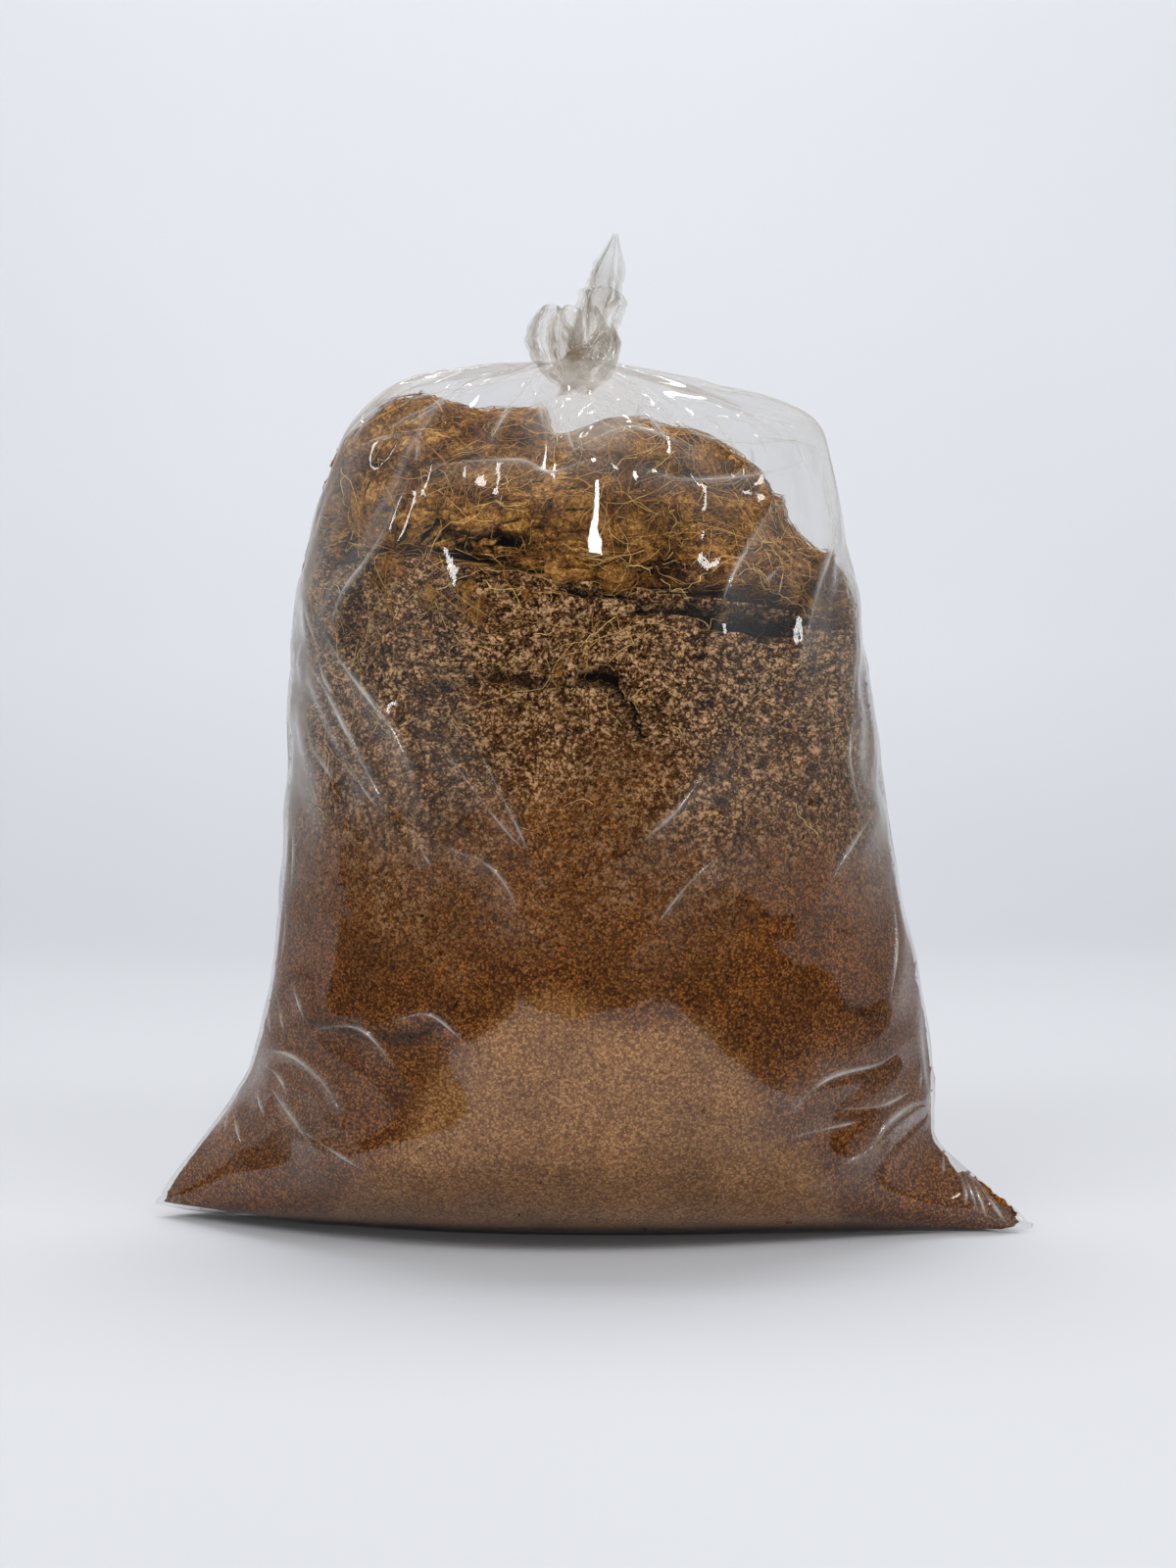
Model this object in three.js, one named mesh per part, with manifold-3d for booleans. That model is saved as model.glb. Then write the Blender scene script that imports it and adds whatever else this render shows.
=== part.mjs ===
// A clear film bag of coir compost, knotted at the neck and standing on its base.
// Millimetres, +Z up, the front faces -Y. The origin is on the floor, under the middle of the bag.
import * as THREE from "three";
import { mergeVertices } from "three/addons/utils/BufferGeometryUtils.js";
import Module from "manifold-3d";

// Film: a flat tube of clear plastic, sealed across the bottom
const FILM = 0.08;

// Ears: the two sealed bottom corners, which stick out past the filled body
const EAR_REACH = 147.5;
const EAR_LEFT_HEIGHT = 4;
const EAR_RIGHT_HEIGHT = 2;
const EAR_LEFT_SWING = 8;
const EAR_RIGHT_SWING = 22;

// Flat patch that the bag stands on, and the edges in front and behind that curve up from it
const SEAT_REACH_LEFT = 122;
const SEAT_REACH_RIGHT = 140;
const SEAT_DEPTH = 26;
const HULL_HEIGHT = 8;
const HULL_DEPTH = 54;

// Tucks: where the top edge of an ear meets the side of the body
const TUCK_LEFT_HEIGHT = 62;
const TUCK_LEFT_REACH = 110;
const TUCK_RIGHT_HEIGHT = 33;
const TUCK_RIGHT_REACH = 113.5;
const HIP_RIGHT_HEIGHT = 46;
const HIP_RIGHT_REACH = 114.8;

// Body, from the belly up to the slack shoulders
const BELLY_HEIGHT = 112;
const BELLY_REACH = 103;
const BELLY_DEPTH = 81;
const CHEST_HEIGHT = 200;
const CHEST_LEFT_REACH = 97;
const CHEST_RIGHT_REACH = 89;
const CHEST_DEPTH = 71;

// Neck, where the slack film is gathered under the knot
const NECK_HEIGHT = 286;
const NECK_RADIUS = 6.5;
const GATHERS = 13;
const GATHER_DEPTH = 2.4;

// Shoulders, below the neck
const SHOULDER_DROP = 28;
const SHOULDER_LEFT_REACH = 84;
const SHOULDER_RIGHT_REACH = 77;
const SHOULDER_DEPTH = 47;

// Crown: the slack film between neck and shoulders, fuller on the left, with a corner on the right
const CROWN_LEFT_DROP = 7;
const CROWN_LEFT_REACH = 60;
const CROWN_RIGHT_DROP = 21;
const CROWN_RIGHT_REACH = 73;
const CROWN_DEPTH_DROP = 9;
const CROWN_DEPTH = 27;

// Knot: an overhand tied in the gathered neck, and the tail of film above it
const KNOT_X = -5;
const KNOT_RISE = 8;
const KNOT_LOOP = 3.2;
const KNOT_ROPE = 3.7;
const ROPE_BORE = 0.5;
const PLEAT_SHARE = 0.8;
const TAIL_LEAN = 13.5;
const TAIL_RISE = 33;
const TAIL_WIDTH = 13;
const TAIL_THICKNESS = 4.4;
const TAIL_WALL = 0.7;
const TAIL_TIP = 2.4;

// Fill: loose peat with two lumps of matted coir on top of it
const SEAT_GAP = 0.45;
const LUMP_GAP = 0.35;
const HULL_SLACK = 6;
const EAR_SLACK = 2.2;
const SIDE_SLACK = 4.5;
const SHOULDER_SLACK_LEFT = 6.5;
const SHOULDER_SLACK_RIGHT = 22;
const SHOULDER_SLACK_DEPTH = 9;
const FILL_DROP = 11;
const HEAD_SLACK_LEFT = 18;
const HEAD_SLACK_RIGHT = 45;
const HEAD_SLACK_DEPTH = 18;
const PEAT_HEIGHT = 213;
const PEAT_SLOPE = 0.16;
const PEAT_ROUGHNESS = 3;
const CREVICE_X = -9;
const CREVICE_WIDTH = 5;
const LUMP_ROUGHNESS = 4.2;

// Ledges: where the lower edges of the lumps stand off the peat, one under each lump
const LEDGE_LIFT = 7;
const LEDGE_X = -38;
const LEDGE_SPACING = 83;

// Facets
const FILM_SIDES = 52;
const FILL_SIDES = FILM_SIDES / 2;
const ROPE_SIDES = 12;
const BORE_SIDES = 6;
const ROPE_STEP = 3.4;
const ROPE_LENGTH = 6;

const SHOULDER_HEIGHT = NECK_HEIGHT - SHOULDER_DROP;
const FILL_HEIGHT = NECK_HEIGHT - FILL_DROP;

const COLOURS = { film: 0xe4e4de, peat: 0x6b4c32, coir: 0x7a5427 };

const wasm = await Module();
wasm.setup();

// A smooth curve through [height, value] points that doesn't overshoot them
function profile(points) {
  const last = points.length - 1;
  const rise = (i) => (points[i + 1][1] - points[i][1]) / (points[i + 1][0] - points[i][0]);
  const slopes = points.map((_, i) => {
    if (i === 0) return rise(0);
    if (i === last) return rise(last - 1);
    const [below, above] = [rise(i - 1), rise(i)];
    return below * above > 0 ? (2 * below * above) / (below + above) : 0;
  });
  return (z) => {
    let i = 0;
    while (i < last - 1 && z > points[i + 1][0]) i++;
    const span = points[i + 1][0] - points[i][0];
    const t = THREE.MathUtils.clamp((z - points[i][0]) / span, 0, 1);
    return (
      points[i][1] * (1 + 2 * t) * (1 - t) ** 2 +
      points[i + 1][1] * (3 - 2 * t) * t ** 2 +
      span * (slopes[i] * t * (1 - t) ** 2 - slopes[i + 1] * t ** 2 * (1 - t))
    );
  };
}

// The reach of one side: out from the seat to the sharp tip of its ear, then in along the body
function withEar(seatReach, earHeight, body) {
  const under = profile([[0, seatReach], [earHeight, EAR_REACH]]);
  const over = profile([[earHeight, EAR_REACH], ...body]);
  return (z) => (z < earHeight ? under(z) : over(z));
}

// Heights from one level to another, without the last, crowded towards it where ease is above 1
function steps(from, to, count, ease = 1) {
  return Array.from({ length: count }, (_, i) => to - (to - from) * (1 - i / count) ** ease);
}

// A closed surface over rings of points, with each end ring closed by a fan to its middle
function skin(rings) {
  const sides = rings[0].length;
  const points = rings.flat();
  const faces = [];
  for (let r = 0; r + 1 < rings.length; r++) {
    for (let i = 0; i < sides; i++) {
      const [a, b] = [r * sides + i, r * sides + ((i + 1) % sides)];
      faces.push(a, b, b + sides, a, b + sides, a + sides);
    }
  }
  for (const [ring, start] of [[rings[0], 0], [rings.at(-1), points.length - sides]]) {
    const middle = ring.reduce((sum, p) => sum.add(p), new THREE.Vector3()).divideScalar(sides);
    const hub = points.push(middle) - 1;
    for (let i = 0; i < sides; i++) {
      const [a, b] = [start + i, start + ((i + 1) % sides)];
      faces.push(...(start === 0 ? [hub, b, a] : [hub, a, b]));
    }
  }
  const geometry = new THREE.BufferGeometry().setFromPoints(points).setIndex(faces);
  geometry.computeVertexNormals();
  return geometry;
}

// The surface with each point moved along its normal by a distance, or by a function of the point
function moved(geometry, distance) {
  const { position, normal } = geometry.attributes;
  const points = Array.from({ length: position.count }, (_, i) => {
    const p = new THREE.Vector3().fromBufferAttribute(position, i);
    const n = new THREE.Vector3().fromBufferAttribute(normal, i);
    return p.addScaledVector(n, typeof distance === "function" ? distance(p) : distance);
  });
  const made = new THREE.BufferGeometry().setFromPoints(points).setIndex(geometry.index);
  made.computeVertexNormals();
  return made;
}

function solid(geometry) {
  const vertProperties = new Float32Array(geometry.attributes.position.array);
  const triVerts = new Uint32Array(geometry.index.array);
  return new wasm.Manifold(new wasm.Mesh({ numProp: 3, vertProperties, triVerts }));
}

function geometryOf(manifold) {
  const mesh = manifold.getMesh();
  return new THREE.BufferGeometry()
    .setAttribute("position", new THREE.BufferAttribute(mesh.vertProperties, 3))
    .setIndex(new THREE.BufferAttribute(mesh.triVerts, 1));
}

// Outline of the bag, seen from the front and from the side
const leftSide = withEar(SEAT_REACH_LEFT, EAR_LEFT_HEIGHT, [
  [TUCK_LEFT_HEIGHT, TUCK_LEFT_REACH],
  [BELLY_HEIGHT, BELLY_REACH],
  [CHEST_HEIGHT, CHEST_LEFT_REACH],
  [SHOULDER_HEIGHT, SHOULDER_LEFT_REACH],
  [NECK_HEIGHT - CROWN_LEFT_DROP, CROWN_LEFT_REACH],
  [NECK_HEIGHT, NECK_RADIUS - KNOT_X],
]);
const rightSide = withEar(SEAT_REACH_RIGHT, EAR_RIGHT_HEIGHT, [
  [TUCK_RIGHT_HEIGHT, TUCK_RIGHT_REACH],
  [HIP_RIGHT_HEIGHT, HIP_RIGHT_REACH],
  [BELLY_HEIGHT, BELLY_REACH],
  [CHEST_HEIGHT, CHEST_RIGHT_REACH],
  [SHOULDER_HEIGHT, SHOULDER_RIGHT_REACH],
  [NECK_HEIGHT - CROWN_RIGHT_DROP, CROWN_RIGHT_REACH],
  [NECK_HEIGHT, NECK_RADIUS + KNOT_X],
]);
const depth = profile([
  [0, SEAT_DEPTH],
  [HULL_HEIGHT, HULL_DEPTH],
  [TUCK_RIGHT_HEIGHT, (BELLY_DEPTH + CHEST_DEPTH) / 2],
  [BELLY_HEIGHT, BELLY_DEPTH],
  [CHEST_HEIGHT, CHEST_DEPTH],
  [SHOULDER_HEIGHT, SHOULDER_DEPTH],
  [NECK_HEIGHT - CROWN_DEPTH_DROP, CROWN_DEPTH],
  [NECK_HEIGHT, NECK_RADIUS],
]);
// How far the sides are drawn out to the flat tube's two creases: 0 is an oval, 1 a pointed lens
const pinch = profile([
  [0, 0.95],
  [TUCK_RIGHT_HEIGHT, 0.55],
  [BELLY_HEIGHT, 0.22],
  [SHOULDER_HEIGHT, 0.25],
  [NECK_HEIGHT, 0],
]);
// Share of the ears' swing, to the front on the right and to the back on the left, that is left at a height
const swingShare = profile([
  [0, 1],
  [TUCK_LEFT_HEIGHT, 0],
  [NECK_HEIGHT, 0],
]);

// Points round the bag at a height, set in from its film by the given amounts
function ring(z, sides, inset = { left: 0, right: 0, depth: 0 }) {
  const [left, right] = [leftSide(z) - inset.left, rightSide(z) - inset.right];
  return Array.from({ length: sides }, (_, i) => {
    const angle = (2 * Math.PI * i) / sides;
    const [c, s] = [Math.cos(angle), Math.sin(angle)];
    const swing = swingShare(z) * (c > 0 ? EAR_RIGHT_SWING : EAR_LEFT_SWING);
    const x = (right - left) / 2 + (c * (right + left)) / 2;
    const y = (depth(z) - inset.depth) * s * Math.abs(s) ** pinch(z) - swing * c ** 3;
    return new THREE.Vector3(x, y, z);
  });
}

// Creases in the slack film: ridges on the front (-1) or back (1) face, between two places.
// Places are shares of the belly's reach to the right and of the neck's height
const CREASES = [
  { face: -1, from: [-0.9, 0.72], to: [-0.6, 0.49], height: 2.6, width: 11 },
  { face: -1, from: [-0.95, 0.63], to: [-0.7, 0.45], height: 2.2, width: 10 },
  { face: -1, from: [-1.01, 0.2], to: [-0.72, 0.1], height: 2.6, width: 10 },
  { face: -1, from: [1.03, 0.15], to: [0.64, 0.08], height: 2.6, width: 10 },
  { face: -1, from: [1.05, 0.34], to: [0.68, 0.18], height: 2.0, width: 11 },
  { face: -1, from: [0.82, 0.75], to: [0.68, 0.56], height: 2.4, width: 11 },
  { face: 1, from: [-0.89, 0.7], to: [-0.53, 0.46], height: 2.4, width: 11 },
  { face: 1, from: [0.85, 0.66], to: [0.56, 0.42], height: 2.4, width: 11 },
  { face: 1, from: [-1.01, 0.2], to: [-0.68, 0.1], height: 2.6, width: 10 },
  { face: 1, from: [1.03, 0.15], to: [0.66, 0.09], height: 2.6, width: 10 },
];

const gatherShare = profile([
  [0, 0],
  [CHEST_HEIGHT, 0],
  [SHOULDER_HEIGHT, 0.55],
  [(SHOULDER_HEIGHT + NECK_HEIGHT) / 2, 1],
  [NECK_HEIGHT, 0.45],
]);

function onFace([across, up]) {
  return new THREE.Vector3(across * BELLY_REACH, 0, up * NECK_HEIGHT);
}

// How far the film stands out at a point: the gathers that run up to the neck, and the creases
function foldHeight(p) {
  const angle = Math.atan2(p.y, p.x - KNOT_X);
  const stray = 0.5 * Math.sin(2 * angle + 0.6) + 0.15 * Math.sin(5 * angle);
  let height = GATHER_DEPTH * gatherShare(p.z) * Math.cos(GATHERS * angle + stray);
  for (const { face, from, to, height: ridge, width } of CREASES) {
    if (Math.sign(p.y) !== face) continue;
    const line = new THREE.Line3(onFace(from), onFace(to));
    const here = new THREE.Vector3(p.x, 0, p.z);
    const away = line.closestPointToPoint(here, true, new THREE.Vector3()).distanceTo(here);
    height += ridge * Math.max(0, 1 - away / width);
  }
  return height;
}

// The overhand knot: most of a trefoil, entered from the neck in front and left by the tail behind
function knotCurve() {
  const knotZ = NECK_HEIGHT + KNOT_RISE;
  const place = (x, y, z) => new THREE.Vector3(KNOT_X + x, y, knotZ + z);
  const [loop, rope] = [KNOT_LOOP, KNOT_ROPE];
  const crossing = rope * 0.85;
  const points = [place(0, 0, -KNOT_RISE - 2 * rope), place(0, -crossing / 2, -KNOT_RISE)];
  const [start, end, turns] = [Math.PI + 0.5, 3 * Math.PI - 0.5, 20];
  for (let i = 0; i <= turns; i++) {
    const t = start + ((end - start) * i) / turns;
    points.push(
      place(
        loop * (Math.sin(t) + 2 * Math.sin(2 * t)),
        crossing * Math.sin(3 * t),
        loop * (Math.cos(t) - 2 * Math.cos(2 * t)),
      ),
    );
  }
  const behind = crossing + 1.5 * rope;
  points.push(
    place(0, crossing + rope, -2.3 * loop),
    place(loop, behind, -1.1 * loop),
    place(1.1 * loop, behind, loop),
    place(TAIL_LEAN * 0.42, crossing, TAIL_RISE * 0.3),
    place(TAIL_LEAN * 0.65, crossing / 2, TAIL_RISE * 0.58),
    place(TAIL_LEAN, 0, TAIL_RISE),
  );
  return new THREE.CatmullRomCurve3(points, false, "centripetal");
}

// Rings along the knotted neck. Beyond the knot the rope opens out into the flat tail
function ropeRings(curve, sides, size, overshoot) {
  const length = curve.getLength();
  const count = Math.round(length / ROPE_STEP);
  const tailFrom = length - TAIL_RISE;
  const width = profile([
    [0, KNOT_ROPE],
    [tailFrom, KNOT_ROPE],
    [length - TAIL_RISE * 0.45, TAIL_WIDTH / 2],
    [length, TAIL_TIP / 2],
  ]);
  const thickness = profile([
    [0, KNOT_ROPE],
    [tailFrom, KNOT_ROPE],
    [length - TAIL_RISE * 0.45, TAIL_THICKNESS / 2],
    [length, TAIL_TIP / 2],
  ]);
  const rings = [];
  for (let i = 0; i <= count; i++) {
    const along = curve.getTangentAt(i / count);
    const middle = curve.getPointAt(i / count);
    if (i === count) middle.addScaledVector(along, overshoot);
    const across = new THREE.Vector3(0, 1, 0).cross(along).normalize();
    const through = new THREE.Vector3().crossVectors(along, across);
    const [w, h] = [width((length * i) / count), thickness((length * i) / count)];
    rings.push(
      Array.from({ length: sides }, (_, k) => {
        const angle = (2 * Math.PI * k) / sides;
        return middle
          .clone()
          .addScaledVector(across, size(w, k) * Math.cos(angle))
          .addScaledVector(through, size(h, k) * Math.sin(angle));
      }),
    );
  }
  return rings;
}

// A rope that presses against itself, put together from short lengths that share an end ring
function joined(rings) {
  const lengths = [];
  for (let i = 0; i + 1 < rings.length; i += ROPE_LENGTH) {
    lengths.push(solid(skin(rings.slice(i, i + ROPE_LENGTH + 1))));
  }
  return wasm.Manifold.union(lengths);
}

// The bag: one skin of film from the sealed base to the open end of the tail
function filmBag() {
  const heights = [
    0,
    EAR_RIGHT_HEIGHT,
    EAR_LEFT_HEIGHT,
    ...steps(HULL_HEIGHT, TUCK_LEFT_HEIGHT, 5),
    ...steps(TUCK_LEFT_HEIGHT, CHEST_HEIGHT, 10),
    ...steps(CHEST_HEIGHT, SHOULDER_HEIGHT, 5),
    ...steps(SHOULDER_HEIGHT, NECK_HEIGHT, 9, 1.6),
    NECK_HEIGHT,
  ];
  const rings = heights.map((z) => ring(z, FILM_SIDES));
  const outside = moved(skin(rings), (p) => (p.z > 0 ? foldHeight(p) : 0));
  const inside = moved(outside, -FILM);
  const curve = knotCurve();
  const pleated = (size, k) => (k % 2 ? size * PLEAT_SHARE : size);
  const open = (size) => Math.max(ROPE_BORE, size * PLEAT_SHARE - TAIL_WALL);
  const rope = joined(ropeRings(curve, ROPE_SIDES, pleated, 0));
  const bore = joined(ropeRings(curve, BORE_SIDES, open, KNOT_ROPE));
  const hollow = solid(inside).add(bore);
  return geometryOf(solid(outside).add(rope).subtract(hollow));
}

// A gentle unevenness between -1 and 1, the same at every build
function rough(a, b, c) {
  const drift = 0.4 * Math.sin(0.09 * a);
  return (Math.sin(0.11 * a + 1.3) + Math.sin(0.17 * b + drift) + Math.sin(0.13 * c + 2.1)) / 3;
}

// Everything in the bag as one mass: tight against the film below, slack at the sides and the head.
// On the right it falls away from the shoulder
function wholeFill() {
  const floor = FILM + SEAT_GAP;
  const low = [
    [0, EAR_SLACK + SEAT_GAP],
    [TUCK_LEFT_HEIGHT, (EAR_SLACK + SIDE_SLACK) / 2],
    [CHEST_HEIGHT, SIDE_SLACK],
  ];
  const left = profile([...low, [SHOULDER_HEIGHT, SHOULDER_SLACK_LEFT], [FILL_HEIGHT, HEAD_SLACK_LEFT]]);
  const right = profile([...low, [SHOULDER_HEIGHT, SHOULDER_SLACK_RIGHT], [FILL_HEIGHT, HEAD_SLACK_RIGHT]]);
  const deep = profile([
    [0, HULL_SLACK],
    [HULL_HEIGHT, FILM + SEAT_GAP],
    [CHEST_HEIGHT, FILM + SEAT_GAP],
    [SHOULDER_HEIGHT, SHOULDER_SLACK_DEPTH],
    [FILL_HEIGHT, HEAD_SLACK_DEPTH],
  ]);
  const heights = [
    floor,
    EAR_LEFT_HEIGHT,
    ...steps(HULL_HEIGHT, TUCK_LEFT_HEIGHT, 5),
    ...steps(TUCK_LEFT_HEIGHT, CHEST_HEIGHT, 10),
    ...steps(CHEST_HEIGHT, FILL_HEIGHT, 9, 1.3),
    FILL_HEIGHT,
  ];
  const rings = heights.map((z) => ring(z, FILL_SIDES, { left: left(z), right: right(z), depth: deep(z) }));
  const dip = profile([
    [0, 0],
    [BELLY_HEIGHT, 0],
    [CHEST_HEIGHT, LUMP_ROUGHNESS],
    [FILL_HEIGHT, LUMP_ROUGHNESS],
  ]);
  return solid(moved(skin(rings), (p) => dip(p.z) * (rough(2 * p.x, 2 * p.y, 2 * p.z) - 1)));
}

// A block whose face towards -Z or -X is uneven: what it takes from the fill breaks along that face
function roughBlock(size, segments, axis, middle, surface) {
  const box = new THREE.BoxGeometry(size, size, size, ...segments);
  box.deleteAttribute("normal");
  box.deleteAttribute("uv");
  const block = mergeVertices(box);
  const face = ["x", "y", "z"].indexOf(axis);
  const { position } = block.attributes;
  for (let i = 0; i < position.count; i++) {
    const p = new THREE.Vector3().fromBufferAttribute(position, i);
    const low = p.getComponent(face) < 0;
    p.setComponent(face, low ? 0 : size).add(middle);
    if (low) p.setComponent(face, p.getComponent(face) + surface(p));
    position.setXYZ(i, ...p);
  }
  return solid(block);
}

// How far a lump's underside stands off the peat: shut in the middle of the bag, open towards the film
function ledge(p) {
  const across = Math.cos((Math.PI * (p.x - LEDGE_X)) / LEDGE_SPACING) ** 2;
  return LUMP_GAP + LEDGE_LIFT * across * THREE.MathUtils.smoothstep(Math.abs(p.y), 0, SHOULDER_DEPTH);
}

function fillPieces() {
  const whole = wholeFill();
  const size = 2.4 * EAR_REACH;
  const head = new THREE.Vector3(0, 0, PEAT_HEIGHT);
  const peatTop = (p) => PEAT_ROUGHNESS * rough(3 * p.x, 3 * p.y, 0) - PEAT_SLOPE * p.x;
  const above = roughBlock(size, [16, 16, 1], "z", head, peatTop);
  const lifted = roughBlock(size, [16, 16, 1], "z", head, (p) => peatTop(p) + ledge(p));
  const right = roughBlock(size, [1, 12, 12], "x", new THREE.Vector3(CREVICE_X, 0, PEAT_HEIGHT), (p) =>
    PEAT_ROUGHNESS * rough(0, 3 * p.y, 4 * p.z),
  );
  const matted = whole.intersect(lifted);
  return {
    peat_fill: geometryOf(whole.subtract(above)),
    coir_lump_left: geometryOf(matted.subtract(right)),
    coir_lump_right: geometryOf(matted.intersect(right.translate([CREVICE_WIDTH, 0, 0]))),
  };
}

function piece(name, geometry, material) {
  const mesh = new THREE.Mesh(geometry, new THREE.MeshStandardMaterial(material));
  mesh.name = name;
  return mesh;
}

const bag = new THREE.Group();
bag.add(
  piece("film_bag", filmBag(), { color: COLOURS.film, roughness: 0.12, transparent: true, opacity: 0.25 }),
);
for (const [name, geometry] of Object.entries(fillPieces())) {
  const color = name.startsWith("peat") ? COLOURS.peat : COLOURS.coir;
  bag.add(piece(name, geometry, { color, roughness: 0.95, metalness: 0 }));
}

// The folds reach further on one face than on the other, so the bag is set over the origin as a whole
const middle = new THREE.Box3().setFromObject(bag).getCenter(new THREE.Vector3());
bag.position.set(-middle.x, -middle.y, 0);

export default bag;
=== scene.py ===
import math

import bmesh
import bpy
import numpy as np
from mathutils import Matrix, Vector, noise
from mathutils.bvhtree import BVHTree


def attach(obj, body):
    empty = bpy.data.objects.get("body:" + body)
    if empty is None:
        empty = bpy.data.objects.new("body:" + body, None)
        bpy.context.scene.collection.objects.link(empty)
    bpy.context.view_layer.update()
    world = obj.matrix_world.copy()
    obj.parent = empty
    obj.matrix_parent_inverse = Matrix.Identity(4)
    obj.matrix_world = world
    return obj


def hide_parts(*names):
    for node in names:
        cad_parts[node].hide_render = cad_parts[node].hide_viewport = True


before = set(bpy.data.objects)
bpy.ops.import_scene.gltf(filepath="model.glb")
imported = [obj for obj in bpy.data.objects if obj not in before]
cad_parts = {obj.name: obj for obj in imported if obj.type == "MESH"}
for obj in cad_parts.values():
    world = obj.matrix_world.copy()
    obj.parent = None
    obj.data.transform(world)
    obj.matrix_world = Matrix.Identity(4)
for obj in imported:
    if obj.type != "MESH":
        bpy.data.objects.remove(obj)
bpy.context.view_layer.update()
scene = bpy.context.scene
rng = np.random.default_rng(11)

MM = 0.001

# The photograph's frame, and the plane of the bag's two ears in it
PHOTO_WIDTH = 1200
PHOTO_HEIGHT = 1600
PIXEL = 0.325 * MM
MIDDLE_COLUMN = 602
FLOOR_ROW = 1250
CAMERA_DISTANCE = 1.15
CAMERA_ELEVATION = math.radians(4)

# Light of the room, and how much of it the film mirrors
SKY = 0.34
SKY_MIRRORED_IN_FRONT = 0.03
SKY_MIRRORED_AT_SIDES = 0.5

# Part of the floor that is bright in the film's mirror images, with a dark room beyond it
MIRRORED_FLOOR_FRONT = 0.45
MIRRORED_FLOOR_SIDE = 0.2
FLOOR_IN_FRONT = 2.5

# Film and fill
NECK_HEIGHT = 286 * MM
NECK_AXIS = -5 * MM
BAG_MIDDLE = 0.12
FILM_ROWS = 240
FILM_COLUMNS = 400
FILM_BASE_ROWS = 6
CREVICE = -10 * MM
SIDE_FILL = 10 * MM
LUMP_DIVIDE = -8 * MM
CLOD_BAND = (0.196, 0.222)
PEAT_VOXEL = 1.7 * MM
LUMP_VOXEL = 1.2 * MM
THREAD = (0.09 * MM, 0.19 * MM)
LONG_THREAD = (0.1 * MM, 0.2 * MM)
FOLD_LIMIT = 4 * MM
CROWN_PLACE = np.array([600, 418])
CROWN_SIZE = np.array([95, 62])
OUTLINE_LIMIT = 0.8 * MM
SLIDE_LIMIT = 2 * MM

AIM = np.array([(PHOTO_WIDTH / 2 - MIDDLE_COLUMN) * PIXEL, 0, (FLOOR_ROW - PHOTO_HEIGHT / 2) * PIXEL])
AHEAD = np.array([0, math.cos(CAMERA_ELEVATION), -math.sin(CAMERA_ELEVATION)])
UPWARD = np.array([0, math.sin(CAMERA_ELEVATION), math.cos(CAMERA_ELEVATION)])
CAMERA_PLACE = AIM - CAMERA_DISTANCE * AHEAD


def photo_place(points):
    """Column and row of the photograph where each point is seen, and its distance ahead of the camera."""
    away = points - CAMERA_PLACE
    ahead = away @ AHEAD
    pixels = CAMERA_DISTANCE / PIXEL / ahead
    return PHOTO_WIDTH / 2 + away[..., 0] * pixels, PHOTO_HEIGHT / 2 - (away @ UPWARD) * pixels, ahead


def smoothstep(low, high, value):
    t = np.clip((value - low) / (high - low), 0, 1)
    return t * t * (3 - 2 * t)


# Camera

def make_camera():
    data = bpy.data.cameras.new("photo_camera")
    data.sensor_fit = "VERTICAL"
    data.sensor_height = 24
    data.lens = data.sensor_height * CAMERA_DISTANCE / (PHOTO_HEIGHT * PIXEL)
    camera = bpy.data.objects.new("photo_camera", data)
    camera.location = CAMERA_PLACE
    camera.rotation_euler = (math.pi / 2 - CAMERA_ELEVATION, 0, 0)
    scene.collection.objects.link(camera)
    scene.camera = camera


# Meshes

def make_piece(name, points, faces, material, node=None):
    mesh = bpy.data.meshes.new(name)
    mesh.from_pydata(np.asarray(points).tolist(), [], np.asarray(faces).tolist())
    mesh.update()
    mesh.polygons.foreach_set("use_smooth", np.ones(len(mesh.polygons), bool))
    piece = bpy.data.objects.new(name, mesh)
    scene.collection.objects.link(piece)
    mesh.materials.append(material)
    finish_piece(piece, node)
    return piece


def finish_piece(piece, node=None):
    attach(piece, "root")
    if node:
        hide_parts(node)


def store(piece, name, values):
    layer = piece.data.attributes.new(name, "FLOAT", "POINT")
    layer.data.foreach_set("value", np.asarray(values, np.float32).ravel())


def coordinates(mesh):
    flat = np.empty(len(mesh.vertices) * 3)
    mesh.vertices.foreach_get("co", flat)
    return flat.reshape(-1, 3)


def normals_of(mesh):
    flat = np.empty(len(mesh.vertices) * 3)
    mesh.vertex_normals.foreach_get("vector", flat)
    return flat.reshape(-1, 3)


def tree_of(*objects):
    points = []
    faces = []
    for item in objects:
        start = len(points)
        points += [v.co.copy() for v in item.data.vertices]
        faces += [[start + i for i in p.vertices] for p in item.data.polygons]
    return BVHTree.FromPolygons(points, faces)


def grid_faces(rows, columns, closed=True):
    """Quads over rows of points. Closed rows join their last point to their first."""
    quads = columns if closed else columns - 1
    row, column = np.meshgrid(np.arange(rows - 1), np.arange(quads), indexing="ij")
    low = row * columns
    high = low + columns
    across = (column + 1) % columns
    return np.stack([low + column, low + across, high + across, high + column], axis=-1).reshape(-1, 4)


# Form of the film, read from the solid

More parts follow.
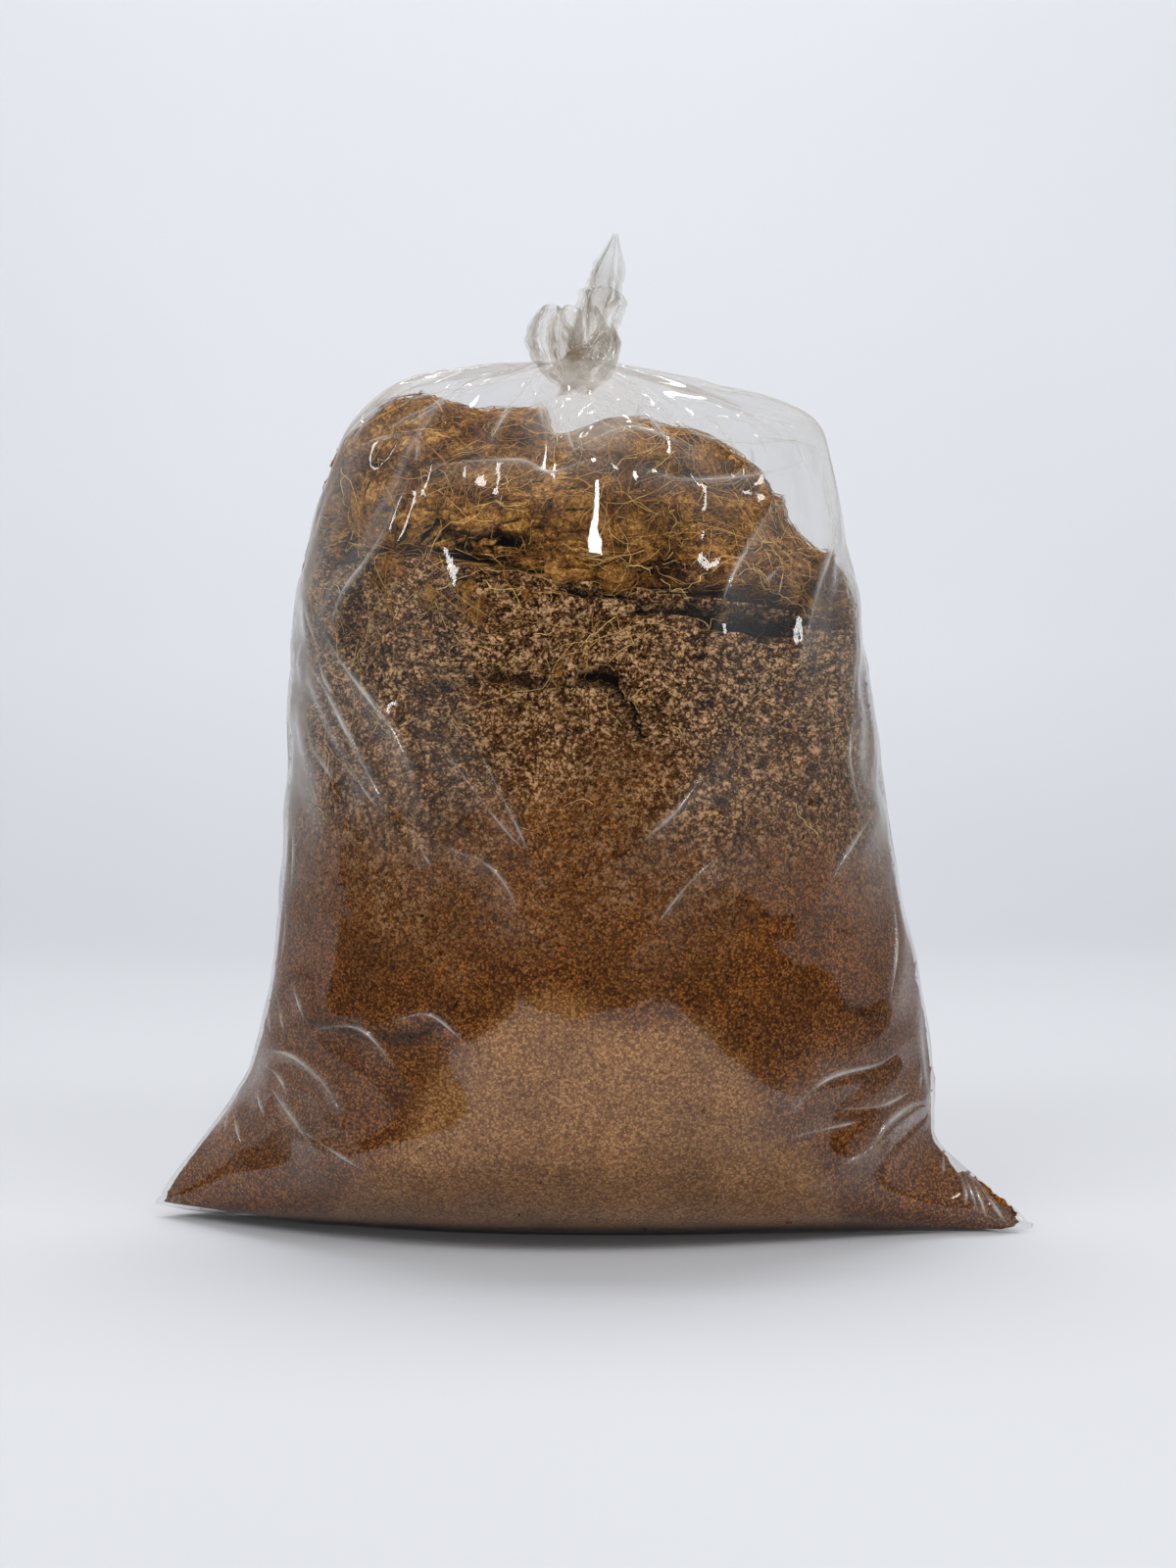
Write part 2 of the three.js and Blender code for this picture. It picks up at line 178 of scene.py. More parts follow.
def bag_section(tree, height, columns):
    """Points round the bag at a height, from the crease on the right round by the back."""
    middle = Vector((NECK_AXIS, 0, height))

    def reach(direction):
        return tree.ray_cast(middle, direction)[3] or 0.0

    def tip(side):
        fan = [Vector((side * math.cos(a), math.sin(a), 0)) for a in np.radians(np.arange(-24, 24.1, 0.8))]
        return max((d * reach(d) for d in fan), key=lambda p: side * p.x)

    right, left = tip(1), tip(-1)
    back = reach(Vector((0, 1, 0)))
    front = reach(Vector((0, -1, 0)))
    directions = []
    for angle in np.arange(columns) * 2 * math.pi / columns:
        c, s = math.cos(angle), math.sin(angle)
        side = right * c if c > 0 else -left * c
        deep = Vector((0, (back if s > 0 else front) * s, 0))
        directions.append((side + deep * abs(s) ** 0.5).normalized())
    length = np.array([reach(d) for d in directions])
    around = np.array([np.roll(length, k) for k in (-3, -2, -1, 1, 2, 3)])
    length = np.where(length < 0.8 * np.median(around, axis=0), np.median(around, axis=0), length)
    return np.array(middle) + np.array(directions) * length[:, None]


def even_rows(columns_of_points, rows):
    """Each column of points spread anew, at even steps along its own length."""
    steps = np.linalg.norm(np.diff(columns_of_points, axis=0), axis=2)
    along = np.vstack([np.zeros(steps.shape[1]), np.cumsum(steps, axis=0)])
    result = np.empty((rows, columns_of_points.shape[1], 3))
    share = np.linspace(0, 1, rows)
    for column in range(columns_of_points.shape[1]):
        s = along[:, column] / along[-1, column]
        for axis in range(3):
            result[:, column, axis] = np.interp(share, s, columns_of_points[:, column, axis])
    return result


def blurred(field, passes):
    """Neighbouring values averaged, along the rows and round the columns."""
    for _ in range(passes):
        field = field * 0.5 + (np.roll(field, 1, axis=1) + np.roll(field, -1, axis=1)) * 0.25
        inner = field[1:-1] * 0.5 + (field[2:] + field[:-2]) * 0.25
        field = np.concatenate([field[:1], inner, field[-1:]])
    return field


def bag_form():
    tree = tree_of(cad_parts["film_bag"])
    base = np.linspace(0.4 * MM, 9 * MM, 8)
    share = np.linspace(0, 1, 130)[1:]
    top = NECK_HEIGHT - 0.4 * MM
    heights = np.concatenate([base, top - (top - base[-1]) * (1 - share) ** 1.35])
    raw = np.array([bag_section(tree, z, FILM_COLUMNS) for z in heights])
    form = even_rows(raw, FILM_ROWS)
    angle = np.arange(FILM_COLUMNS) * 2 * math.pi / FILM_COLUMNS
    ease = smoothstep(0.02, 0.3, np.abs(np.sin(angle)))[None, :, None]
    return form + (blurred(form, 12) - form) * ease


def grid_normals(points):
    across = np.roll(points, -1, axis=1) - np.roll(points, 1, axis=1)
    up = np.gradient(points, axis=0)
    normals = np.cross(across, up)
    return normals / np.maximum(np.linalg.norm(normals, axis=2, keepdims=True), 1e-12)


# Creases of the film on the front, as places in the photograph from one end to the other,
# with how far each stands out in millimetres and how wide it is in pixels
FRONT_CREASES = [
    ([(302, 660), (330, 700), (352, 742), (376, 790), (399, 836)], 4.0, 15),
    ([(322, 632), (346, 672), (376, 712), (402, 748), (425, 800)], 3.4, 14),
    ([(318, 640), (330, 690), (346, 716)], 2.4, 10),
    ([(308, 715), (318, 760), (338, 792), (328, 802)], 3.0, 12),
    ([(350, 770), (372, 806), (392, 832)], 2.0, 11),
    ([(450, 760), (500, 828), (536, 870)], 1.3, 9),
    ([(490, 768), (520, 828), (541, 872)], 1.3, 9),
    ([(427, 862), (441, 886)], 1.6, 9),
    ([(450, 862), (502, 886), (532, 932)], 1.8, 12),
    ([(266, 1072), (297, 1078), (329, 1104), (353, 1146)], 4.4, 14),
    ([(268, 1087), (286, 1100), (297, 1130)], 3.0, 10),
    ([(272, 1103), (296, 1136), (328, 1186)], 4.0, 12),
    ([(260, 1106), (272, 1146)], 3.0, 9),
    ([(236, 1126), (228, 1160)], 2.4, 8),
    ([(236, 1126), (247, 1172)], 2.4, 8),
    ([(306, 1152), (342, 1176), (378, 1198)], 2.0, 12),
    ([(318, 1050), (368, 1050), (406, 1092)], 2.6, 13),
    ([(400, 1042), (440, 1036), (480, 1070)], 2.0, 12),
    ([(272, 1006), (277, 1060)], 2.4, 9),
    ([(283, 1012), (291, 1060)], 2.2, 8),
    ([(296, 998), (312, 1044)], 2.2, 9),
    ([(806, 1146), (820, 1120), (850, 1098), (900, 1084), (932, 1058)], 3.0, 13),
    ([(853, 1132), (900, 1128), (936, 1110)], 2.2, 10),
    ([(955, 1122), (930, 1128), (906, 1146), (890, 1170), (856, 1192)], 4.6, 13),
    ([(802, 1162), (850, 1150), (880, 1144)], 1.8, 11),
    ([(940, 1078), (938, 1118)], 2.4, 8),
    ([(950, 1084), (956, 1120)], 2.4, 7),
    ([(963, 1170), (962, 1202)], 2.0, 7),
    ([(968, 1170), (985, 1215), (983, 1232)], 2.6, 7),
    ([(976, 1176), (1000, 1242)], 2.6, 7),
    ([(985, 1186), (1010, 1250)], 2.4, 7),
    ([(996, 1206), (1030, 1252)], 2.4, 8),
    ([(425, 478), (470, 472), (530, 470), (562, 482), (600, 470), (640, 468)], 3.4, 13),
    ([(541, 388), (552, 420), (563, 476)], 4.0, 12),
    ([(563, 476), (602, 450), (646, 436), (690, 450), (726, 463)], 3.0, 12),
    ([(640, 472), (690, 488), (742, 488), (800, 478), (832, 464)], 3.4, 13),
    ([(352, 463), (386, 448), (430, 440)], 2.6, 11),
    ([(430, 440), (424, 478)], 2.8, 10),
    ([(424, 478), (382, 560), (348, 608), (332, 660)], 3.4, 14),
    ([(800, 500), (770, 546), (746, 590), (735, 622)], 2.6, 11),
    ([(800, 574), (776, 598)], 2.2, 9),
    ([(838, 470), (850, 545), (834, 604), (816, 684)], 3.6, 14),
    ([(880, 700), (866, 770), (884, 850)], 3.0, 13),
    ([(640, 402), (668, 432), (692, 462)], 3.0, 11),
    ([(658, 396), (706, 440), (762, 452), (836, 446)], 2.8, 12),
    ([(720, 786), (692, 826), (652, 862)], 2.6, 10),
    ([(905, 812), (872, 858), (846, 902)], 2.8, 12),
    ([(905, 880), (915, 960), (905, 1040)], 2.4, 11),
    ([(735, 872), (700, 905), (668, 946)], 1.4, 12),
    ([(640, 400), (720, 412), (800, 432), (836, 446)], 2.2, 10),
    ([(690, 402), (730, 432), (760, 470)], 2.2, 9),
    ([(740, 412), (770, 440), (786, 470)], 1.8, 8),
    ([(790, 424), (812, 452), (832, 500)], 2.4, 9),
    ([(836, 446), (842, 500), (856, 560)], 2.2, 8),
    ([(700, 430), (740, 425), (800, 445)], 1.6, 7),
    ([(556, 384), (500, 392), (440, 402), (392, 414)], 2.4, 9),
    ([(520, 384), (470, 402), (430, 425), (400, 440)], 2.2, 9),
    ([(556, 398), (520, 420), (500, 452)], 1.8, 8),
    ([(420, 395), (380, 425), (350, 462)], 2.2, 9),
    ([(352, 463), (330, 520), (312, 590)], 2.6, 9),
    ([(570, 400), (566, 430), (562, 470)], 2.4, 8),
    ([(585, 402), (580, 440), (590, 468)], 2.0, 8),
    ([(600, 402), (612, 430), (640, 440)], 2.2, 8),
    ([(612, 398), (650, 412), (690, 420)], 2.0, 8),
    ([(305, 560), (312, 620), (326, 668)], 2.6, 9),
    ([(868, 590), (874, 660), (868, 730)], 2.6, 9),
    ([(884, 690), (892, 760), (886, 830)], 2.2, 9),
    ([(292, 800), (300, 860), (296, 930)], 2.4, 9),
    ([(284, 870), (292, 940), (284, 1000)], 2.2, 9),
]


def seen_places(points):
    """Places of points in the photograph. Points on the back are turned round to the front first."""
    column, row, _ = photo_place(points * np.where(points[..., 1:2] > 0, [-1, -1, 1], 1))
    return np.stack([column, row], axis=-1)


def line_offset(here, places):
    """Distance of each place from a line of places, with the sign of the side that it lies on."""
    line = np.array(places, float)
    nearest = np.full(here.shape[:-1], np.inf)
    side = np.ones(here.shape[:-1])
    for a, b in zip(line[:-1], line[1:]):
        step = b - a
        along = np.clip(((here - a) @ step) / (step @ step), 0, 1)
        off = here - a - along[..., None] * step
        distance = np.linalg.norm(off, axis=-1)
        closer = distance < nearest
        side = np.where(closer, np.sign(step[0] * off[..., 1] - step[1] * off[..., 0]), side)
        nearest = np.where(closer, distance, nearest)
    ends = np.minimum(*(np.linalg.norm(here - line[i], axis=-1) for i in (0, -1)))
    return nearest, side, smoothstep(0, 36, ends + 10)


def crease_height(points):
    """How far the creases lift the film. The back has them too, left and right changed over."""
    front = smoothstep(6 * MM, -6 * MM, points[..., 1])
    here = seen_places(points)
    lift = np.zeros(points.shape[:2])
    for places, height, width in FRONT_CREASES:
        nearest, _, taper = line_offset(here, places)
        lift = np.maximum(lift, height * MM * np.maximum(0, 1 - nearest / width) * taper)
    return lift * (0.55 + 0.45 * front) * smoothstep(0, 4 * MM, np.abs(points[..., 1]))


def crease_haze_and_highlight(points):
    """Whitish panels of loose film that end at a crease, with a sharp edge at the crease that is painted
    highlight.
    """
    here = seen_places(points)
    cloud = np.zeros(points.shape[:2])
    for places, height, _ in FRONT_CREASES:
        nearest, side, taper = line_offset(here, places)
        outer = np.sign((places[-1][0] - places[0][0]) * 0.3 + MIDDLE_COLUMN - places[0][0]) * side > 0
        fade = np.where(outer, np.exp(-nearest / 22), np.exp(-nearest / 4))
        cloud = np.maximum(cloud, height / 4.5 * fade * taper)
    return cloud


def crown_share(points):
    """How much of the crushed film under the knot there is at each point, from 0 to 1."""
    here = seen_places(points) - CROWN_PLACE
    return smoothstep(1.0, 0.35, np.linalg.norm(here / CROWN_SIZE, axis=-1))


def film_slack(points):
    """Spare width and height of the film, as shares, where it isn't held tight by the fill."""
    z = points[..., 2]
    side = np.abs(points[..., 0]) / np.abs(points[..., 0]).max(axis=1, keepdims=True)
    wide = 0.003 + 0.02 * smoothstep(110 * MM, 210 * MM, z) + 0.1 * smoothstep(235 * MM, 275 * MM, z)
    wide = wide + 0.03 * smoothstep(0.55, 0.95, side)
    tall = 0.002 + 0.01 * smoothstep(100 * MM, 190 * MM, z) + 0.02 * smoothstep(0.55, 0.95, side)
    return wide, tall


def resized(field, rows, columns):
    """A coarse field read at the points of a finer one."""
    old_rows, old_columns = field.shape[:2]
    r = np.linspace(0, old_rows - 1, rows)
    c = np.arange(columns) * old_columns / columns
    r0 = np.minimum(r.astype(int), old_rows - 2)
    c0 = c.astype(int)
    fr = (r - r0)[:, None, None]
    fc = (c - c0)[None, :, None]
    c1 = (c0 + 1) % old_columns
    low = field[r0][:, c0] * (1 - fc) + field[r0][:, c1] * fc
    high = field[r0 + 1][:, c0] * (1 - fc) + field[r0 + 1][:, c1] * fc
    return low * (1 - fr) + high * fr


class FilmGrid:
    """Film as a net of links that keep their length. Spare length makes it buckle into creases."""

    LINKS = [(0, 1), (1, 0), (1, 1), (1, -1)]

    def __init__(self, form, shaped, room):
        self.form = form
        self.normals = grid_normals(form)
        self.room = room
        self.limit = OUTLINE_LIMIT + FOLD_LIMIT * smoothstep(0.15, 0.7, np.abs(self.normals[..., 1]))
        self.points = shaped.copy()
        wide, tall = film_slack(form)
        turn = np.abs(np.sin(np.arange(form.shape[1]) * 2 * math.pi / form.shape[1]))
        crease = 0.5 * (1 - smoothstep(0.0, 0.06, turn))
        self.pinned = np.repeat(crease[None, :, None], form.shape[0], axis=0)
        self.pinned[[0, -1]] = 1
        self.rests = []
        for dr, dc in self.LINKS:
            link = self.link(shaped, dr, dc)
            length = np.linalg.norm(link, axis=2)
            slack = {(0, 1): wide, (1, 0): tall}.get((dr, dc), (wide + tall) / 2)
            self.rests.append(length * (1 + slack[: length.shape[0]]))

    @staticmethod
    def link(points, dr, dc):
        ahead = np.roll(points, -dc, axis=1)
        return ahead[dr:] - points[: points.shape[0] - dr]

    def relax(self, steps, stiffness, strength=0.3):
        points = self.points
        rows = points.shape[0]
        for _ in range(steps):
            change = np.zeros_like(points)
            for (dr, dc), rest in zip(self.LINKS, self.rests):
                link = self.link(points, dr, dc)
                length = np.linalg.norm(link, axis=2)
                pull = link * (strength * 0.5 * (length - rest) / np.maximum(length, 1e-9))[..., None]
                change[: rows - dr] += pull
                change[dr:] -= np.roll(pull, dc, axis=1)
            smooth = blurred(points, 1) - points
            points = points + change + stiffness * smooth
            away = ((points - self.form) * self.normals).sum(axis=2)
            along = points - self.form - self.normals * away[..., None]
            slid = np.linalg.norm(along, axis=2, keepdims=True)
            along = along * np.minimum(1, SLIDE_LIMIT / np.maximum(slid, 1e-9))
            held = np.clip(away, -self.room, self.limit)
            points = self.form + along + self.normals * held[..., None]
            points = points + (self.form - points) * self.pinned
        self.points = points


def room_inside(form, tree):
    """How far the film can move in before it meets the fill."""
    normals = grid_normals(form)
    room = np.empty(form.shape[:2])
    for index in np.ndindex(room.shape):
        start = Vector(form[index])
        found = tree.ray_cast(start, Vector(-normals[index]), 12 * MM)
        room[index] = found[3] if found[0] else 12 * MM
    return np.maximum(room - 0.3 * MM, 0.1 * MM)


def wrinkled(form, tree):
    """Creases that form on a coarse net first, then finer ones between them."""
    moved = None
    room = room_inside(form, tree)[..., None]
    for share, steps, stiffness in ((4, 220, 0.02), (2, 90, 0.08), (1, 24, 0.3)):
        rows, columns = FILM_ROWS // share, FILM_COLUMNS // share
        coarse = resized(form, rows, columns)
        normals = grid_normals(coarse)
        shaped = coarse + normals * crease_height(coarse)[..., None]
        net = FilmGrid(coarse, shaped, resized(room, rows, columns)[..., 0])
        if moved is None:
            net.points = shaped + blurred(rng.normal(0, 1.2 * MM, (rows, columns, 1)), 2) * normals
        else:
            net.points = coarse + resized(moved, rows, columns)
        net.relax(steps, stiffness)
        moved = net.points - coarse
    return net.points + grid_normals(form) * ripples(form)[..., None]


def ripples(points):
    """Slight waves of the loose film, which break up what it mirrors."""
    z = points[..., 2]
    share = smoothstep(70 * MM, 130 * MM, z) * (1 - smoothstep(268 * MM, 284 * MM, z))
    wave = [
        0.4 * noise.noise(Vector(p) / (14 * MM)) + 0.12 * noise.noise(Vector(p) / (6 * MM))
        for p in points.reshape(-1, 3)
    ]
    crushed = crown_share(points)
    sharp = np.abs([noise.noise(Vector(p) / (5 * MM)) for p in points.reshape(-1, 3)]).reshape(z.shape)
    return (np.array(wave).reshape(z.shape) * share - 1.6 * sharp * crushed) * MM


# Film of the body, closed under the base along the bottom seal

def sharpness(points):
    """How sharply the film is folded at each point, from 0 to 1."""
    bend = np.linalg.norm(points - blurred(points, 1), axis=2)
    return smoothstep(0.05 * MM, 0.22 * MM, bend)


def make_film(points, material):
    rim = points[0]
    seal = (rim + rim[-np.arange(FILM_COLUMNS)]) / 2
    base = [seal + (rim - seal) * share for share in np.linspace(0, 1, FILM_BASE_ROWS)[:-1]]
    rows = np.concatenate([np.array(base), points])
    z = rows[..., 2]
    side = np.abs(rows[..., 0]) / np.abs(rows[..., 0]).max(axis=1, keepdims=True)
    dust = smoothstep(0.8, 0.97, side) * smoothstep(80 * MM, 150 * MM, z)
    dust = np.maximum(dust, 0.2 * smoothstep(240 * MM, 262 * MM, z))
    # Film whitened along creases, sharp folds and the crushed film under the knot: haze of doubled film, and
    # painted highlight along the folds
    crease = np.maximum(0.5 * sharpness(rows), crease_haze_and_highlight(rows))
    crease = np.maximum(crease, 1.3 * crown_share(rows))
    crease[:FILM_BASE_ROWS + 2] = 0
    half = FILM_COLUMNS // 2
    faces = grid_faces(len(rows), half + 1, closed=False)
    for name, first in (("film_back", 0), ("film_front", half)):
        columns = np.arange(first, first + half + 1) % FILM_COLUMNS
        piece = make_piece(name, rows[:, columns].reshape(-1, 3), faces, material, "film_bag")
        store(piece, "dust", dust[:, columns])
        store(piece, "crease", crease[:, columns])


def camera_ray(column, row, turn):
    """Start and direction of a line of sight through the photograph. A turn of -1 looks from behind."""
    across = np.array([(column - PHOTO_WIDTH / 2) * PIXEL, 0, 0])
    sight = CAMERA_DISTANCE * AHEAD + across + (PHOTO_HEIGHT / 2 - row) * PIXEL * UPWARD
    round_z = np.array([turn, turn, 1])
    return Vector(CAMERA_PLACE * round_z), Vector(sight * round_z).normalized()


def fold_spine(places, turn, tree):
    """Points and normals along a crease, where its lines of sight meet the film."""
    line = catmull(np.array(places, float), 14)
    found = [tree.ray_cast(*camera_ray(column, row, turn)) for column, row in line]
    found = [f for f in found if f[0]]
    spine = np.array([f[0] for f in found])
    if len(spine) < 6 or np.linalg.norm(np.diff(spine, axis=0), axis=1).max() > 15 * MM:
        return None
    normals = np.array([f[1] if f[1].y * turn < 0 else -f[1] for f in found])
    for _ in range(3):
        spine[1:-1] = spine[1:-1] / 2 + (spine[2:] + spine[:-2]) / 4
        normals[1:-1] = normals[1:-1] / 2 + (normals[2:] + normals[:-2]) / 4
    return spine, normals / np.linalg.norm(normals, axis=1, keepdims=True)


def make_folds(film, material):
    """Thin ridges of doubled film, which catch the light along the creases."""
    profile = np.array([(-1, 0), (-0.45, 0.35), (-0.12, 0.9), (0.12, 1), (0.45, 0.4), (1, 0)])
    all_points, all_faces, ridges = [], [], []
    count = 0
    tree = BVHTree.FromPolygons(film.reshape(-1, 3).tolist(), grid_faces(FILM_ROWS, FILM_COLUMNS).tolist())
    for turn in (1, -1):
        for places, height, _ in FRONT_CREASES:
            found = fold_spine(places, turn, tree)
            if not found:
                continue
            spine, normals = found
            along = np.gradient(spine, axis=0)
            across = np.cross(along, normals)
            across /= np.maximum(np.linalg.norm(across, axis=1, keepdims=True), 1e-9)
            share = np.linspace(0, 1, len(spine))
            swell = np.sin(math.pi * share) ** 0.6 * (0.75 + 0.25 * np.sin(9 * share + height))
            half = (0.7 + 0.26 * height) * MM * swell
            tall = 0.3 * height * MM * swell
            points = (
                spine[:, None]
                + across[:, None] * (half[:, None] * profile[:, 0])[..., None]
                + normals[:, None] * (tall[:, None] * profile[:, 1])[..., None]
            )
            faces = grid_faces(len(spine), len(profile), closed=False)
            all_points.append(points.reshape(-1, 3))
            all_faces.append(faces + count)
            ridges.append((swell[:, None] * profile[:, 1]).ravel())
            count += points.shape[0] * points.shape[1]
    points = np.concatenate(all_points)
    piece = make_piece("film_folds", points, np.concatenate(all_faces), material)
    store(piece, "ridge", np.concatenate(ridges))


# Knot and tail

def catmull(points, per_span):
    """A smooth line through the points."""
    points = np.asarray(points)
    ends = np.vstack([2 * points[0] - points[1], points, 2 * points[-1] - points[-2]])
    result = []
    for a, b, c, d in zip(ends[:-3], ends[1:-2], ends[2:-1], ends[3:]):
        for t in np.arange(per_span) / per_span:
            bend = 2 * a - 5 * b + 4 * c - d
            twist = 3 * b - a - 3 * c + d
            result.append(0.5 * (2 * b + (c - a) * t + bend * t**2 + twist * t**3))
    result.append(points[-1])
    return np.array(result)


def crumple(points, size, depth):
    """Sharp-edged unevenness, as of film that was crushed."""
    folds = [
        abs(noise.noise(Vector(p) / size)) + 0.5 * abs(noise.noise(Vector(p) / size * 2.3))
        for p in points
    ]
    return (np.array(folds) - 0.35) * depth


def swept(route, width, thick, pleats, sides):
    """A pleated tube of film along a route."""
    tangent = np.gradient(route, axis=0)
    tangent /= np.linalg.norm(tangent, axis=1, keepdims=True)
    across = np.cross([0, 1, 0], tangent)
    across /= np.linalg.norm(across, axis=1, keepdims=True)
    through = np.cross(tangent, across)
    angle = np.arange(sides) * 2 * math.pi / sides
    step = np.arange(len(route))[:, None]
    sway = 0.9 * np.sin(0.09 * step)
    fold = np.abs(np.sin(pleats / 2 * angle[None] + sway + 0.5 * np.sin(3 * angle[None])))
    size = 0.74 + 0.44 * fold
    spokes = (
        across[:, None] * (width[:, None] * size * np.cos(angle))[..., None]
        + through[:, None] * (thick[:, None] * size * np.sin(angle))[..., None]
    )
    points = (route[:, None] + spokes).reshape(-1, 3)
    out = spokes.reshape(-1, 3)
    out = out / np.maximum(np.linalg.norm(out, axis=1, keepdims=True), 1e-9)
    reach = np.repeat(np.minimum(width, 4 * MM) / (4 * MM), sides)
    return points + out * (crumple(points, 3.6 * MM, 1.2 * MM) * reach)[:, None]


# Gathers of film at the knot, each by its route in the photograph, with how far it bows back in millimetres,
# and its width and thickness in millimetres along the route
KNOT_GATHERS = [
    ([(590, 402), (588, 392), (590, 380), (594, 366)], 0, [13, 8, 8, 6], [12, 8, 8, 6]),
    ([(588, 396), (572, 372), (562, 345), (563, 316)], -3, [6, 13, 15, 5], [6, 11, 12, 4]),
    ([(590, 396), (580, 366), (578, 340), (584, 318)], -6, [5, 10, 11, 5], [5, 8, 9, 3]),
    ([(592, 398), (606, 378), (616, 356), (618, 334)], -4, [6, 11, 10, 4], [6, 10, 10, 4]),
    ([(564, 384), (588, 372), (612, 362), (624, 340)], -8, [3, 7, 7, 3], [3, 5, 5, 2]),
    ([(594, 400), (600, 370), (602, 344), (600, 318)], 5, [6, 13, 12, 6], [6, 10, 9, 4]),
]
TAIL_GATHERS = [
    ([(598, 372), (606, 338), (616, 306), (618, 296)], 0, [8, 13, 14.5, 3], [6, 6, 5, 1]),
    ([(602, 352), (614, 304), (622, 274), (628, 243)], 1, [2, 11, 9, 1.2], [2, 3.5, 3, 1]),
    ([(598, 362), (610, 312), (616, 282), (627, 246)], -1, [1, 7, 6, 1], [1, 4, 3, 1]),
]


def make_gathers(name, gathers, pleats, material, tail):
    """Pleated tubes of film along routes given as places in the photograph."""
    sides = 72
    tubes, faces, tails = [], [], []
    count = 0
    for places, bow, widths, thicknesses in gathers:
        line = catmull(np.array(places, float), 16)
        share = np.linspace(0, 1, len(line))
        x = (line[:, 0] - MIDDLE_COLUMN) * PIXEL
        z = (FLOOR_ROW - line[:, 1]) * PIXEL
        route = np.stack([x, bow * MM * np.sin(math.pi * share), z], axis=1)
        spots = np.linspace(0, 1, len(widths))
        width = np.interp(share, spots, widths) / 2 * MM
        thick = np.interp(share, spots, thicknesses) / 2 * MM
        tubes.append(swept(route, width, thick, pleats, sides))
        tails.append(np.repeat(tail * smoothstep(0.25, 0.9, share), sides))
        faces.append(grid_faces(len(line), sides) + count)
        count += len(line) * sides
    piece = make_piece(name, np.concatenate(tubes), np.concatenate(faces), material)
    piece.visible_shadow = False
    store(piece, "tail", np.concatenate(tails))


# Fill

def fine_copy(node, name, voxel, material):
    """The solid's form as an even fine net, ready to be roughened."""
    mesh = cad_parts[node].data.copy()
    mesh.materials.clear()
    mesh.materials.append(material)
    piece = bpy.data.objects.new(name, mesh)
    scene.collection.objects.link(piece)
    remesh = piece.modifiers.new("remesh", "REMESH")
    remesh.mode = "VOXEL"
    remesh.voxel_size = voxel
    graph = bpy.context.evaluated_depsgraph_get()
    fine = bpy.data.meshes.new_from_object(piece.evaluated_get(graph))
    piece.modifiers.clear()
    piece.data = fine
    fine.polygons.foreach_set("use_smooth", np.ones(len(fine.polygons), bool))
    finish_piece(piece, node)
    return piece


def roughen(piece, depth_at):
    """Each point moved in along its normal by the depth that a function gives."""
    points = coordinates(piece.data)
    normals = normals_of(piece.data)
    depth = np.array([depth_at(Vector(p), n) for p, n in zip(points, normals)])
    depth += crevice_depth(points) * smoothstep(0.2, 0.6, np.abs(normals[:, 1]))
    points -= normals * depth[:, None]
    piece.data.vertices.foreach_set("co", points.ravel())
    piece.data.update()
    return depth


def clods(p, size):
    """0 at the middle of a clod and 1 in the cracks between clods of about this size."""
    distances, _ = noise.voronoi(p / size)
    return 1 - min(1.0, (distances[1] - distances[0]) * 1.6)


def peat_depth(p, normal):
    z = p.z / MM
    covered = float(smoothstep(0.4, 0.8, normal[2])) * float(smoothstep(180, 200, z))
    chips = float(smoothstep(112, 165, z))
    lumps = float(smoothstep(150, 205, z))
    fine = 0.18 * (1 + noise.noise(p / (1.3 * MM)))
    coarse = 1.7 * clods(p, 5 * MM) + 0.7 * clods(p, 2.6 * MM)
    hollow = 2.2 * max(0.0, noise.fractal(p / (24 * MM), 1.0, 2.0, 3) + 0.15)
    return (fine + (1 - 0.8 * covered) * (chips * coarse + lumps * hollow)) * MM


def coir_depth(p, normal):
    side = -1 if p.x > CREVICE else 1
    covered = float(smoothstep(0.3, 0.7, max(-normal[2], side * normal[0])))
    coarse = 1.2 * clods(p, 6 * MM)
    hollow = 3.5 * max(0.0, noise.fractal(p / (20 * MM), 1.0, 2.0, 4) + 0.1)
    fine = 0.5 * (1 + noise.noise(p / (1.6 * MM)))
    return ((1 - covered) * (fine + coarse + hollow) - 2.2 * covered) * MM


# Dark hollows of the fill, as places in the photograph, with depth in millimetres and half width in pixels
CREVICES = [
    ([(418, 548), (450, 556), (500, 546), (552, 552)], 9, 15),
    ([(646, 590), (690, 612), (740, 628), (790, 628), (834, 606)], 11, 24),
    ([(566, 560), (590, 585), (640, 590)], 6, 16),
    ([(700, 476), (740, 492), (776, 500)], 5, 9),
    ([(352, 480), (370, 520), (380, 560)], 5, 12),
    ([(608, 690), (624, 712), (640, 745)], 7, 11),
    ([(455, 700), (505, 688), (560, 700)], 2, 8),
    ([(315, 1040), (360, 1052), (420, 1066), (468, 1044)], 4, 8),
    ([(845, 1030), (876, 1038)], 5, 10),
    ([(500, 905), (520, 940)], 4, 7),
]


def crevice_depth(points):
    """How deep the hollows go. Their edges are ragged, and the back has them too."""
    here = seen_places(points)
    ragged = np.array([noise.fractal(Vector(p) / (7 * MM), 1.0, 2.0, 3) for p in points])
    depth = np.zeros(len(points))
    for places, deep, width in CREVICES:
        nearest, _, taper = line_offset(here, places)
        inside = smoothstep(1.3, 0.3, nearest / width + 0.7 * ragged)
        depth = np.maximum(depth, deep * MM * inside * (0.4 + 0.6 * taper))
    return depth * smoothstep(4 * MM, 14 * MM, np.abs(points[:, 1]))


# The fill's top as the photograph shows it, from the left shoulder to the right
FILL_TOP = [
    (300, 470), (345, 430), (365, 416), (440, 412), (550, 402), (560, 440), (576, 456), (592, 446),
    (622, 432), (682, 428), (760, 468), (792, 484), (832, 540), (850, 610), (900, 800),
]


